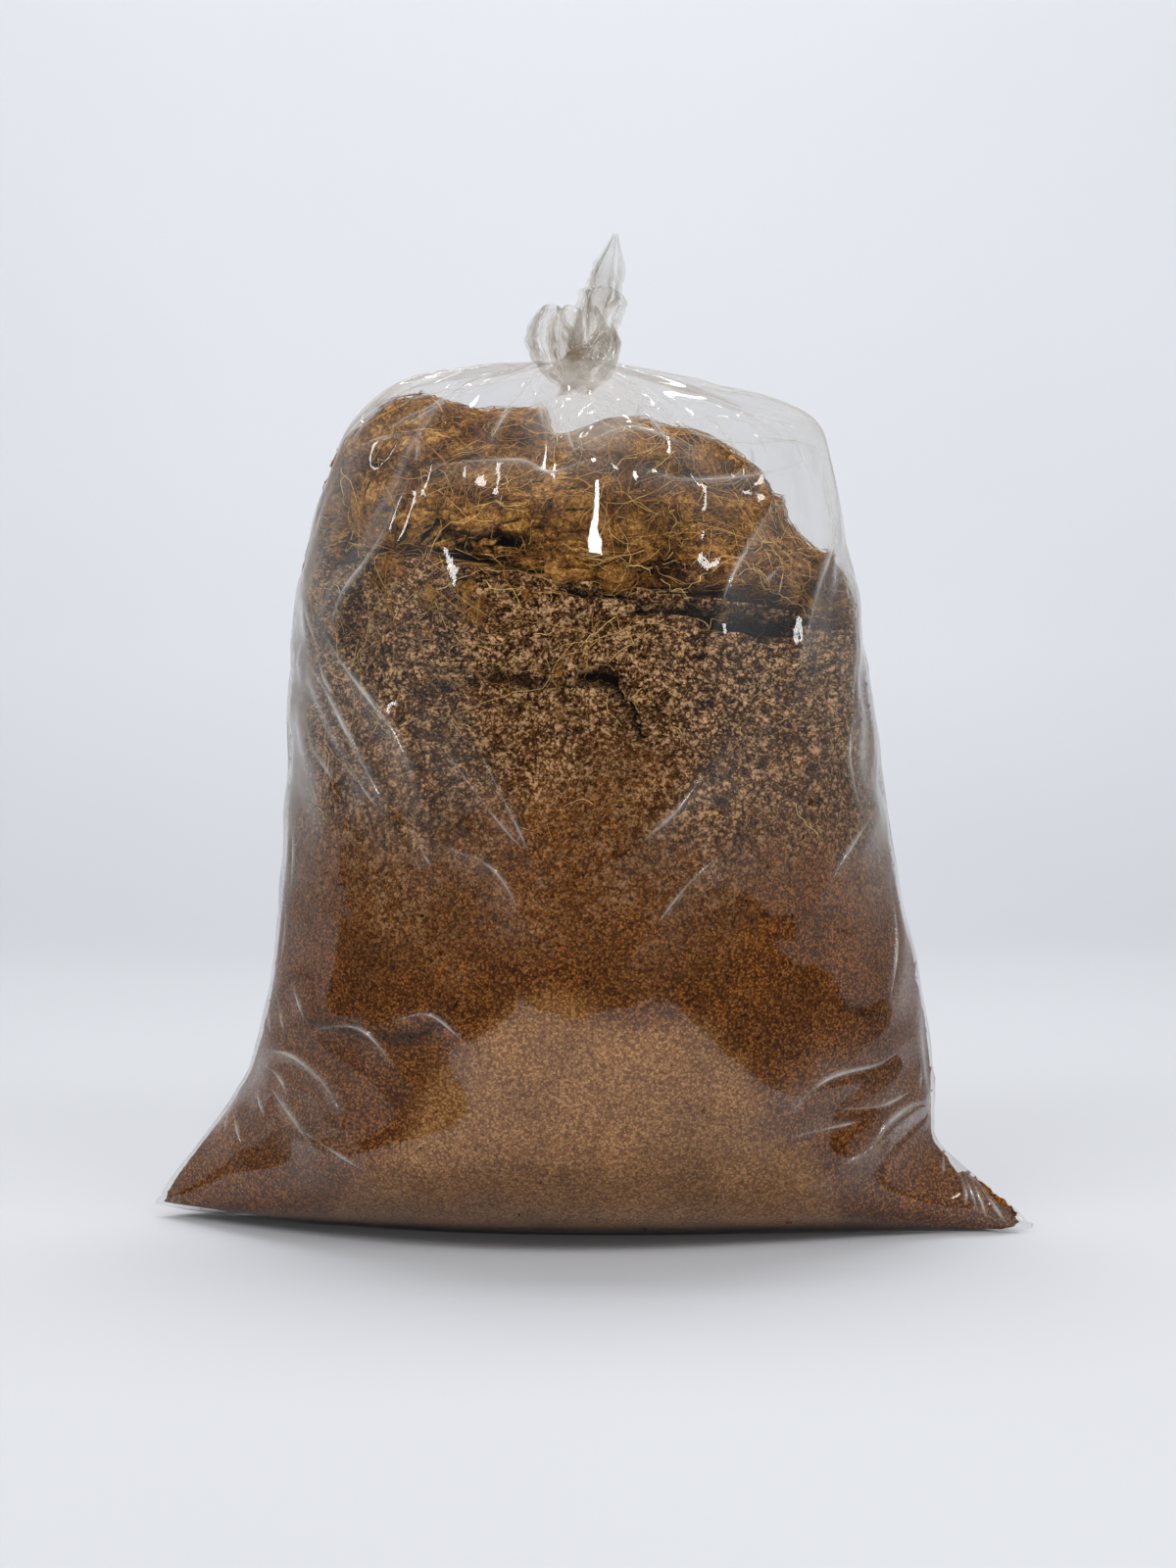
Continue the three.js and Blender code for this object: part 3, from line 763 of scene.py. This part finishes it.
def carve_top(piece):
    """Points above the fill's top in the photograph pressed down to it."""
    points = coordinates(piece.data)
    column, row, ahead = photo_place(points)
    top = np.array(FILL_TOP, float)
    above = np.maximum(np.interp(column, top[:, 0], top[:, 1]) - row, 0)
    points[:, 2] -= 0.9 * above * PIXEL * ahead / CAMERA_DISTANCE
    piece.data.vertices.foreach_set("co", points.ravel())
    piece.data.update()


def fill_out(piece, tree):
    """Sides of the fill let out to where the film lies against them."""
    points = coordinates(piece.data)
    normals = normals_of(piece.data)
    left = points[:, 0] < 0
    z = points[:, 2]
    reach = np.where(
        left,
        smoothstep(4 * MM, 90 * MM, z) ** 0.5 * smoothstep(268 * MM, 245 * MM, z),
        smoothstep(16 * MM, 45 * MM, z) * smoothstep(240 * MM, 205 * MM, z),
    )
    out = SIDE_FILL * smoothstep(0.3, 0.8, np.abs(normals[:, 0])) * reach
    points[:, 0] += np.where(left, -out, out)
    corner = smoothstep(-35 * MM, -62 * MM, points[:, 0]) * smoothstep(225 * MM, 240 * MM, z)
    points[:, 2] += SIDE_FILL * corner * smoothstep(0.1, 0.6, normals[:, 2])
    piece.data.vertices.foreach_set("co", kept_inside(points, tree, 1.2 * MM).ravel())
    piece.data.update()


def ball():
    mesh = bmesh.new()
    bmesh.ops.create_icosphere(mesh, subdivisions=3, radius=1)
    points = np.array([v.co for v in mesh.verts])
    faces = np.array([[v.index for v in f.verts] for f in mesh.faces])
    mesh.free()
    return points, faces


def kept_inside(points, tree, gap):
    """Points that would pass the film set back inside it."""
    for i, p in enumerate(points):
        near, normal, _, _ = tree.find_nearest(Vector(p))
        if normal.dot(near - Vector((NECK_AXIS, 0, BAG_MIDDLE))) < 0:
            normal = -normal
        over = (Vector(p) - near).dot(normal) + gap
        if over > 0:
            points[i] -= np.array(normal) * over
    return points


def make_clods(name, sources, count, sizes, wanted, tree, material):
    """Crumbly clods of coir, half sunk into the pieces they lie on."""
    round_points, round_faces = ball()
    points = np.concatenate([coordinates(s.data) for s in sources])
    normals = np.concatenate([normals_of(s.data) for s in sources])
    weight = np.array([wanted(p) for p in points])
    picks = rng.choice(len(points), count, p=weight / weight.sum())
    all_points = []
    all_faces = []
    tints = []
    for k, pick in enumerate(picks):
        size = sizes[0] + (sizes[1] - sizes[0]) * rng.uniform() ** 2.2
        stretch = rng.uniform(0.65, 1.25, 3)
        shift = Vector(rng.uniform(0, 100, 3))
        bumps = [
            1 + 0.5 * noise.noise(Vector(v) * 1.2 + shift) + 0.3 * noise.noise(Vector(v) * 3.4 + shift)
            for v in round_points
        ]
        clod = round_points * np.array(bumps)[:, None] * stretch * size
        all_points.append(clod + points[pick] - normals[pick] * size * 0.35)
        all_faces.append(round_faces + k * len(round_points))
        tints.append(np.full(len(round_points), rng.uniform(0, 0.8)))
    places = kept_inside(np.concatenate(all_points), tree, 0.7 * MM)
    piece = make_piece(name, places, np.concatenate(all_faces), material)
    store(piece, "tint", np.concatenate(tints))
    return piece


def make_grains(source, count, sizes, wanted, tree, material):
    """Small angular grains on the loose part of the peat."""
    corners = np.array([(1, 0, 0), (-1, 0, 0), (0, 1, 0), (0, -1, 0), (0, 0, 1), (0, 0, -1)], float)
    sides = np.array([(0, 2, 4), (2, 1, 4), (1, 3, 4), (3, 0, 4), (2, 0, 5), (1, 2, 5), (3, 1, 5), (0, 3, 5)])
    points = coordinates(source.data)
    normals = normals_of(source.data)
    weight = np.array([wanted(p) for p in points])
    picks = rng.choice(len(points), count, p=weight / weight.sum())
    size = rng.uniform(*sizes, (count, 1, 1))
    turned = corners[None] * rng.uniform(0.6, 1.2, (count, 6, 1)) + rng.normal(0, 0.3, (count, 6, 3))
    jitter = rng.normal(0, 0.6 * MM, (count, 1, 3))
    places = points[picks][:, None] + jitter - normals[picks][:, None] * size * 0.1 + turned * size
    places = kept_inside(places.reshape(-1, 3), tree, 0.4 * MM)
    faces = (sides[None] + 6 * np.arange(count)[:, None, None]).reshape(-1, 3)
    piece = make_piece("grains", places, faces, material)
    piece.data.polygons.foreach_set("use_smooth", np.zeros(len(piece.data.polygons), bool))
    store(piece, "tint", np.repeat(rng.uniform(0, 1, count), 6))


# Fibres

def fibre_paths(sources, count, length, lift, wander, wanted, steps=6):
    """Hair-thin routes that creep over the surface of the pieces."""
    points = np.concatenate([coordinates(s.data) for s in sources])
    tree = tree_of(*sources)
    weight = np.array([wanted(p) for p in points])
    starts = rng.choice(len(points), count, p=weight / weight.sum())
    paths = []
    for start in starts:
        spot = Vector(points[start])
        reach = rng.uniform(*length) / steps
        heading = Vector(rng.normal(size=3))
        path = []
        height = rng.uniform(*lift)
        for _ in range(steps + 1):
            near, normal, _, _ = tree.find_nearest(spot)
            path.append(near + normal * height)
            heading = heading - normal * heading.dot(normal)
            heading = heading.normalized() + Vector(rng.normal(0, wander, 3))
            heading = (heading - normal * heading.dot(normal)).normalized()
            spot = path[-1] + heading * reach
        paths.append(path)
    return np.array(paths)


def make_fibres(name, paths, radius, material):
    """Three-sided threads along the paths, each with its own tint."""
    count, steps, _ = paths.shape
    tangent = np.gradient(paths, axis=1)
    tangent /= np.linalg.norm(tangent, axis=2, keepdims=True) + 1e-12
    side = np.cross(tangent, rng.normal(size=(count, 1, 3)))
    side /= np.linalg.norm(side, axis=2, keepdims=True) + 1e-12
    other = np.cross(tangent, side)
    thick = rng.uniform(*radius, (count, 1, 1)) * np.linspace(1, 0.55, steps)[None, :, None]
    thirds = np.arange(3) * 2 * math.pi / 3
    corners = [paths + thick * (side * math.cos(a) + other * math.sin(a)) for a in thirds]
    points = np.stack(corners, axis=2)
    quads = []
    thread = grid_faces(steps, 3)
    for i in range(count):
        quads.append(thread + i * steps * 3)
    piece = make_piece(name, points.reshape(-1, 3), np.concatenate(quads), material)
    store(piece, "tint", np.repeat(rng.uniform(0, 1, count), steps * 3))


# Materials

class Nodes:
    """Short calls for building a node material."""

    def __init__(self, name):
        self.material = bpy.data.materials.new(name)
        self.material.use_nodes = True
        self.tree = self.material.node_tree
        self.tree.nodes.clear()
        self.output = self.add("ShaderNodeOutputMaterial")

    def add(self, kind, inputs=None, **settings):
        node = self.tree.nodes.new(kind)
        for key, value in settings.items():
            setattr(node, key, value)
        for key, value in (inputs or {}).items():
            if isinstance(value, bpy.types.NodeSocket):
                self.tree.links.new(value, node.inputs[key])
            else:
                node.inputs[key].default_value = value
        return node

    def surface(self, shader):
        self.tree.links.new(shader.outputs[0], self.output.inputs["Surface"])
        return self.material

    def noise(self, scale, detail=4, rough=0.6):
        place = self.add("ShaderNodeTexCoord").outputs["Object"]
        inputs = {"Vector": place, "Scale": scale, "Detail": detail, "Roughness": rough}
        return self.add("ShaderNodeTexNoise", inputs).outputs["Fac"]

    def crumbs(self, scale):
        """Brightness of small crumbs: each has its own, and the gaps between them are darkened as painted
        shade.
        """
        place = self.add("ShaderNodeTexCoord").outputs["Object"]
        wobble = self.add("ShaderNodeTexNoise", {"Vector": place, "Scale": scale * 0.8, "Detail": 2})
        shift = self.add("ShaderNodeVectorMath", {0: wobble.outputs["Color"]}, operation="SCALE")
        shift.inputs["Scale"].default_value = 1.2 / scale
        warped = self.add("ShaderNodeVectorMath", {0: place, 1: shift.outputs[0]}, operation="ADD")
        cells = self.add("ShaderNodeTexVoronoi", {"Vector": warped.outputs[0], "Scale": scale})
        own = self.add("ShaderNodeSeparateColor", {0: cells.outputs["Color"]}).outputs[0]
        # painted shade in the gaps between crumbs
        gap = self.math("MULTIPLY", cells.outputs["Distance"], -0.75)
        return self.math("MULTIPLY_ADD", own, 0.6, self.math("ADD", gap, 0.55))

    def ramp(self, value, *stops):
        node = self.add("ShaderNodeValToRGB", {"Fac": value})
        ramp = node.color_ramp
        while len(ramp.elements) < len(stops):
            ramp.elements.new(0.5)
        for element, (place, colour) in zip(ramp.elements, stops):
            element.position = place
            element.color = (*colour, 1)
        return node.outputs["Color"]

    def attribute(self, name):
        return self.add("ShaderNodeAttribute", attribute_name=name).outputs["Fac"]

    def math(self, operation, a, b=0.0, c=0.0):
        return self.add("ShaderNodeMath", {0: a, 1: b, 2: c}, operation=operation).outputs[0]

    def blend(self, factor, a, b, mode="MIX"):
        node = self.add("ShaderNodeMix", data_type="RGBA", blend_type=mode)
        for socket, value in ((node.inputs[0], factor), (node.inputs[6], a), (node.inputs[7], b)):
            if isinstance(value, bpy.types.NodeSocket):
                self.tree.links.new(value, socket)
            else:
                socket.default_value = value if socket.type == "VALUE" else (*value, 1)
        return node.outputs[2]

    def mirror_share(self, head_on, normal):
        """Share of light that a thin film mirrors, the same from both of its sides."""
        facing = self.add("ShaderNodeLayerWeight", {"Blend": 0.5, "Normal": normal}).outputs["Facing"]
        return self.math("MULTIPLY_ADD", self.math("POWER", facing, 5.0), 1 - head_on, head_on)

    def mixed(self, share, a, b):
        return self.add("ShaderNodeMixShader", {0: share, 1: a.outputs[0], 2: b.outputs[0]})

    def cloudy(self, colour, through):
        """Whitish film that scatters light back, and a share of it through."""
        back = self.add("ShaderNodeBsdfDiffuse", {"Color": colour})
        ahead = self.add("ShaderNodeBsdfTranslucent", {"Color": colour})
        return self.mixed(through, back, ahead)

    def matt(self, colour, rough, gloss, normal=None):
        inputs = {"Base Color": colour, "Roughness": rough, "Specular IOR Level": gloss}
        if normal is not None:
            inputs["Normal"] = normal
        return self.surface(self.add("ShaderNodeBsdfPrincipled", inputs))

    def bump(self, height, strength, distance):
        inputs = {"Height": height, "Strength": strength, "Distance": distance}
        return self.add("ShaderNodeBump", inputs).outputs["Normal"]


def srgb(red, green, blue):
    values = np.array([red, green, blue]) / 255
    return tuple(np.where(values <= 0.04045, values / 12.92, ((values + 0.055) / 1.055) ** 2.4).tolist())


def film_material():
    n = Nodes("clear_film")
    normal = n.bump(n.noise(160, 3, 0.55), 0.1, 0.6 * MM)
    clear = n.add("ShaderNodeBsdfTransparent", {"Color": (0.975, 0.975, 0.97, 1)})
    cloudy = n.cloudy((0.78, 0.76, 0.73, 1), 0.4)
    edge = n.add("ShaderNodeLayerWeight", {"Blend": 0.5}).outputs["Facing"]
    haze = n.math("MULTIPLY_ADD", n.math("POWER", edge, 4.0), 0.3, 0.003)
    streak = n.ramp(n.noise(45, 4, 0.6), (0.3, (0.4, 0.4, 0.4)), (0.7, (1, 1, 1)))
    dust = n.math("MULTIPLY", n.attribute("dust"), streak)
    dust = n.math("MULTIPLY", dust, n.math("MULTIPLY_ADD", edge, 0.8, 0.1))
    haze = n.math("MULTIPLY_ADD", dust, 0.75, haze)
    # whitening along the creases: haze, and painted highlight
    haze = n.math("MULTIPLY_ADD", n.math("MULTIPLY", n.attribute("crease"), streak), 0.3, haze)
    body = n.mixed(haze, clear, cloudy)
    gloss = n.add("ShaderNodeBsdfGlossy", {"Color": (1, 1, 1, 1), "Roughness": 0.04, "Normal": normal})
    mirror = n.mirror_share(0.05, normal)
    return n.surface(n.mixed(mirror, body, gloss))


def fold_material():
    n = Nodes("film_folds")
    clear = n.add("ShaderNodeBsdfTransparent", {"Color": (1, 1, 1, 1)})
    cloudy = n.cloudy((0.95, 0.92, 0.87, 1), 0.4)
    ridge = n.attribute("ridge")
    broken = n.ramp(n.noise(70, 3, 0.6), (0.3, (0.35, 0.35, 0.35)), (0.62, (1, 1, 1)))
    # whitish film at the ridge peak, broken by noise: haze of doubled film, and painted highlight along the
    # fold
    solid = n.math("MULTIPLY", n.math("MULTIPLY", n.math("POWER", ridge, 1.2), broken), 0.62)
    body = n.mixed(solid, clear, cloudy)
    gloss = n.add("ShaderNodeBsdfGlossy", {"Color": (1, 1, 1, 1), "Roughness": 0.12})
    share = n.math("MULTIPLY", ridge, 0.16)
    return n.surface(n.mixed(share, body, gloss))


def knot_material():
    n = Nodes("gathered_film")
    tail = n.attribute("tail")
    stain = n.noise(90, 3)
    cloud = n.ramp(stain, (0.38, srgb(150, 124, 94)), (0.62, srgb(250, 247, 240)))
    cloud = n.blend(tail, cloud, srgb(222, 224, 222))
    normal = n.bump(n.noise(420, 3), 0.8, 0.8 * MM)
    clear = n.add("ShaderNodeBsdfTransparent", {"Color": (0.992, 0.988, 0.98, 1)})
    cloudy = n.cloudy(cloud, 0.5)
    edge = n.add("ShaderNodeLayerWeight", {"Blend": 0.5}).outputs["Facing"]
    solid = n.math("MULTIPLY_ADD", tail, -0.05, 0.1)
    solid = n.math("MULTIPLY_ADD", n.math("POWER", edge, 3.0), 0.22, solid)
    body = n.mixed(solid, clear, cloudy)
    gloss = n.add("ShaderNodeBsdfGlossy", {"Color": (1, 1, 1, 1), "Roughness": 0.08, "Normal": normal})
    mirror = n.math("MINIMUM", n.mirror_share(0.06, normal), 0.3)
    return n.surface(n.mixed(mirror, body, gloss))


def peat_material():
    n = Nodes("coir_peat")
    fine = n.crumbs(1400)
    coarse = n.math("MULTIPLY_ADD", n.crumbs(760), 0.5, n.math("MULTIPLY", n.crumbs(1700), 0.5))
    coarse = n.math("MULTIPLY_ADD", n.math("SUBTRACT", n.noise(260, 5, 0.75), 0.5), 1.1, coarse)
    patch = n.noise(45, 4, 0.6)
    damp = n.ramp(fine, (0.1, srgb(30, 10, 0)), (0.5, srgb(92, 44, 2)), (0.9, srgb(160, 100, 38)))
    # Tan ramp for the low dome: partly dust where the film touches the peat, partly a painted reflection of
    # the pale floor in the film
    dust_and_floor_reflection = n.ramp(fine, (0.1, srgb(96, 60, 26)), (0.5, srgb(146, 100, 54)), (0.9, srgb(192, 146, 94)))
    loose = n.ramp(coarse, (0.2, srgb(10, 4, 0)), (0.46, srgb(98, 62, 28)), (0.72, srgb(208, 170, 128)))
    colour = n.blend(n.attribute("dust"), damp, dust_and_floor_reflection)
    colour = n.blend(n.attribute("loose"), colour, loose)
    shade = n.ramp(patch, (0.35, (0.84, 0.8, 0.76)), (0.65, (1.26, 1.22, 1.18)))
    colour = n.blend(1.0, colour, shade, "MULTIPLY")
    # painted shade: near-black brown in the deep hollows and crevices
    colour = n.blend(n.attribute("hollow_shade"), colour, srgb(18, 9, 3))
    normal = n.bump(n.noise(1300, 3, 0.7), 0.8, 0.7 * MM)
    return n.matt(colour, 0.95, 0.12, normal)


def coir_material():
    n = Nodes("coir_fibre")
    crumb = n.math("MULTIPLY_ADD", n.crumbs(700), 0.45, n.math("MULTIPLY", n.crumbs(1700), 0.5))
    crumb = n.math("MULTIPLY_ADD", n.math("SUBTRACT", n.noise(180, 5, 0.75), 0.5), 1.7, crumb)
    dark = n.ramp(crumb, (0.1, srgb(14, 5, 0)), (0.5, srgb(98, 56, 18)), (0.9, srgb(176, 116, 52)))
    pale = n.ramp(crumb, (0.1, srgb(56, 30, 8)), (0.5, srgb(172, 118, 54)), (0.9, srgb(232, 186, 112)))
    colour = n.blend(n.attribute("tint"), dark, pale)
    # painted shade: near-black brown in the deep hollows and crevices
    colour = n.blend(n.attribute("hollow_shade"), colour, srgb(14, 6, 2))
    normal = n.bump(n.noise(1100, 3, 0.7), 0.8, 0.8 * MM)
    return n.matt(colour, 0.95, 0.12, normal)


def thread_material():
    n = Nodes("coir_threads")
    colour = n.ramp(
        n.attribute("tint"),
        (0.0, srgb(60, 34, 14)),
        (0.35, srgb(138, 88, 32)),
        (0.7, srgb(206, 152, 72)),
        (1.0, srgb(250, 214, 140)),
    )
    shade = n.ramp(n.noise(220, 2), (0.3, (0.7, 0.7, 0.7)), (0.7, (1.1, 1.1, 1.1)))
    colour = n.blend(1.0, colour, shade, "MULTIPLY")
    return n.matt(colour, 0.7, 0.3)


def grain_material():
    n = Nodes("peat_grains")
    colour = n.ramp(
        n.attribute("tint"),
        (0.0, srgb(40, 20, 8)),
        (0.4, srgb(88, 56, 30)),
        (0.8, srgb(128, 90, 56)),
        (1.0, srgb(178, 140, 104)),
    )
    shade = n.ramp(n.noise(600, 2), (0.3, (0.75, 0.75, 0.75)), (0.7, (1.1, 1.1, 1.1)))
    colour = n.blend(1.0, colour, shade, "MULTIPLY")
    return n.matt(colour, 0.9, 0.12)


# Stage and light

def make_stage():
    n = Nodes("pale_sweep")
    axes = n.add("ShaderNodeSeparateXYZ", {0: n.add("ShaderNodeTexCoord").outputs["Object"]})
    tint = n.ramp(
        axes.outputs["Z"],
        (0.0, (0.52, 0.53, 0.555)),
        (0.15, (0.61, 0.625, 0.66)),
        (0.8, (0.75, 0.765, 0.79)),
    )
    cloud = n.ramp(n.noise(1.5, 2), (0.3, (0.97, 0.97, 0.97)), (0.7, (1.02, 1.02, 1.02)))
    tint = n.blend(1.0, tint, cloud, "MULTIPLY")
    near = n.math("LESS_THAN", n.math("ABSOLUTE", axes.outputs["X"]), MIRRORED_FLOOR_SIDE)
    near = n.math("MULTIPLY", near, n.math("GREATER_THAN", axes.outputs["Y"], -MIRRORED_FLOOR_FRONT))
    near = n.math("MAXIMUM", near, n.math("GREATER_THAN", axes.outputs["Y"], 0.1))
    dark = n.math("SUBTRACT", 1.0, near)
    dark = n.math("MULTIPLY", dark, n.add("ShaderNodeLightPath").outputs["Is Glossy Ray"])
    tint = n.blend(dark, tint, (0.03, 0.03, 0.03))
    seen = n.math("MULTIPLY", n.add("ShaderNodeLightPath").outputs["Is Camera Ray"], 0.13)
    lift = n.add("ShaderNodeMapRange", {"Value": axes.outputs["Z"], "From Min": -0.2, "From Max": 0.7})
    strength = n.math("MULTIPLY", seen, lift.outputs[0])
    glow = n.add("ShaderNodeEmission", {"Color": (0.95, 0.97, 1.0, 1), "Strength": strength})
    paper = n.add("ShaderNodeBsdfDiffuse", {"Color": tint})
    material = n.surface(n.add("ShaderNodeAddShader", {0: paper.outputs[0], 1: glow.outputs[0]}))
    depth, height, bend, width = 1.4, 2.2, 0.6, 5.0
    profile = [(-FLOOR_IN_FRONT, 0.0), (depth - bend, 0.0)]
    for a in np.linspace(0.1, math.pi / 2, 16):
        profile.append((depth - bend + bend * math.sin(a), bend - bend * math.cos(a)))
    profile.append((depth, height))
    points = [(x, y, z) for y, z in profile for x in (-width / 2, width / 2)]
    faces = [(2 * i, 2 * i + 1, 2 * i + 3, 2 * i + 2) for i in range(len(profile) - 1)]
    mesh = bpy.data.meshes.new("sweep")
    mesh.from_pydata(points, [], faces)
    mesh.polygons.foreach_set("use_smooth", np.ones(len(mesh.polygons), bool))
    mesh.materials.append(material)
    sweep = bpy.data.objects.new("sweep", mesh)
    scene.collection.objects.link(sweep)


def lamp(name, place, size, power, mirrored):
    data = bpy.data.lights.new(name, "AREA")
    data.shape = "RECTANGLE"
    data.size, data.size_y = size
    data.energy = power
    item = bpy.data.objects.new(name, data)
    item.location = place
    item.rotation_euler = (Vector((0, 0, 0.15)) - Vector(place)).to_track_quat("-Z", "Y").to_euler()
    item.visible_glossy = mirrored
    scene.collection.objects.link(item)


def make_lights():
    world = bpy.data.worlds.new("studio")
    scene.world = world
    world.use_nodes = True
    tree = world.node_tree
    sky = tree.nodes["Background"]
    sky.inputs["Color"].default_value = (0.94, 0.96, 1.0, 1)
    place = tree.nodes.new("ShaderNodeTexCoord")
    axes = tree.nodes.new("ShaderNodeSeparateXYZ")
    tree.links.new(place.outputs["Generated"], axes.inputs[0])
    mirror = tree.nodes.new("ShaderNodeMapRange")
    aside = tree.nodes.new("ShaderNodeMath")
    aside.operation = "ABSOLUTE"
    tree.links.new(axes.outputs["X"], aside.inputs[0])
    tree.links.new(aside.outputs[0], mirror.inputs["Value"])
    mirror.inputs["From Min"].default_value = 0.45
    mirror.inputs["From Max"].default_value = 0.95
    mirror.inputs["To Min"].default_value = SKY_MIRRORED_IN_FRONT
    mirror.inputs["To Max"].default_value = SKY_MIRRORED_AT_SIDES
    path = tree.nodes.new("ShaderNodeLightPath")
    pick = tree.nodes.new("ShaderNodeMix")
    tree.links.new(path.outputs["Is Glossy Ray"], pick.inputs["Factor"])
    pick.inputs["A"].default_value = SKY
    tree.links.new(mirror.outputs[0], pick.inputs["B"])
    tree.links.new(pick.outputs[0], sky.inputs["Strength"])
    lamp("overhead", (0.0, 0.5, 1.5), (1.2, 0.8), 18, False)
    lamp("front_left", (-0.8, -1.2, 1.4), (0.8, 0.8), 10, False)
    lamp("front_right", (0.9, -1.1, 1.3), (0.8, 0.8), 7.5, False)
    lamp("glint_top", (-0.1, 0.2, 1.4), (0.3, 0.12), 1.6, True)
    lamp("glint_middle", (0.12, -1.0, 1.15), (0.17, 0.26), 2.8, True)
    lamp("glint_left", (-1.0, -0.8, 0.9), (0.06, 0.4), 0.9, True)
    lamp("glint_right", (1.0, -0.7, 0.8), (0.06, 0.4), 0.9, True)
    scene.view_settings.view_transform = "Standard"


# Colours painted on the fill, with painted shade in its hollows and a painted reflection of the floor low on
# the peat, and where its loose bits lie

def paint_peat(peat, dip):
    points = coordinates(peat.data)
    z = points[:, 2] / MM
    drift = np.array([noise.fractal(Vector(p) / (40 * MM), 1.0, 2.0, 3) for p in points])
    # Low dome of the peat painted tan: partly dust under the film, partly a painted reflection of the floor
    dome = 82 - 0.012 * (points[:, 0] / MM) ** 2
    store(peat, "dust", 0.15 + 0.85 * smoothstep(12, -12, z - dome + 22 * drift))
    store(peat, "loose", smoothstep(92, 182, z + 26 * drift))
    # painted shade: the deeper the peat's surface sinks, the darker it is painted
    store(peat, "hollow_shade", smoothstep(1.8 * MM, 6.0 * MM, dip))


def paint_lump(lump, dip):
    points = coordinates(lump.data)
    store(lump, "tint", [0.5 + 1.3 * noise.fractal(Vector(p) / (16 * MM), 1.0, 2.0, 3) for p in points])
    # painted shade: the deeper the coir's surface sinks, the darker it is painted
    store(lump, "hollow_shade", smoothstep(3.5 * MM, 9.0 * MM, dip))


def clod_weight(p):
    """Clods lie high in the fill, and most of them at the foot of the lumps."""
    return float(smoothstep(150 * MM, 205 * MM, p[2])) * (3 if CLOD_BAND[0] < p[2] < CLOD_BAND[1] else 1)


def grain_weight(p):
    return float(smoothstep(95 * MM, 150 * MM, p[2])) + 0.03


def short_thread_weight(p):
    return float(smoothstep(125 * MM, 205 * MM, p[2])) + 0.004


def long_thread_weight(p):
    return float(smoothstep(165 * MM, 215 * MM, p[2]))


# Put together

make_camera()
make_stage()
make_lights()
film_look = film_material()
peat_look = peat_material()
coir_look = coir_material()
thread_look = thread_material()

peat = fine_copy("peat_fill", "peat", PEAT_VOXEL, peat_look)
lump_left = fine_copy("coir_lump_left", "matted_coir_left", LUMP_VOXEL, coir_look)
lump_right = fine_copy("coir_lump_right", "matted_coir_right", LUMP_VOXEL, coir_look)
peat_dip = roughen(peat, peat_depth)
left_dip = roughen(lump_left, coir_depth)
right_dip = roughen(lump_right, coir_depth)
carve_top(lump_left)
carve_top(lump_right)

form = bag_form()
form_tree = BVHTree.FromPolygons(form.reshape(-1, 3).tolist(), grid_faces(FILM_ROWS, FILM_COLUMNS).tolist())
for mass in (peat, lump_left, lump_right):
    fill_out(mass, form_tree)
loose_clods = make_clods(
    "clods", (peat, lump_left, lump_right), 230, (1.6 * MM, 5.5 * MM), clod_weight, form_tree, coir_look
)
make_grains(peat, 9000, (0.3 * MM, 0.9 * MM), grain_weight, form_tree, grain_material())
film_points = wrinkled(form, tree_of(peat, lump_left, lump_right, loose_clods))
make_film(film_points, film_look)
make_folds(film_points, fold_material())
knot_look = knot_material()
make_gathers("film_knot", KNOT_GATHERS, 15, knot_look, 0.0)
make_gathers("film_tail", TAIL_GATHERS, 9, knot_look, 1.0)

paint_peat(peat, peat_dip)
paint_lump(lump_left, left_dip)
paint_lump(lump_right, right_dip)

lump_threads = (("threads_left", lump_left, 1900, -1), ("threads_right", lump_right, 2200, 1))
for name, lump, count, side in lump_threads:
    paths = fibre_paths(
        (lump, loose_clods), count, (6 * MM, 28 * MM), (0.1 * MM, 1.6 * MM), 0.35,
        lambda p: float(side * p[0] > side * LUMP_DIVIDE),
    )
    make_fibres(name, paths, THREAD, thread_look)
paths = fibre_paths((peat,), 1400, (4 * MM, 20 * MM), (0.0, 0.4 * MM), 0.4, short_thread_weight)
make_fibres("threads_peat", paths, THREAD, thread_look)
masses = (peat, lump_left, lump_right, loose_clods)
paths = fibre_paths(masses, 800, (22 * MM, 70 * MM), (0.3 * MM, 1.8 * MM), 0.3, long_thread_weight, 14)
make_fibres("threads_long", paths, LONG_THREAD, thread_look)
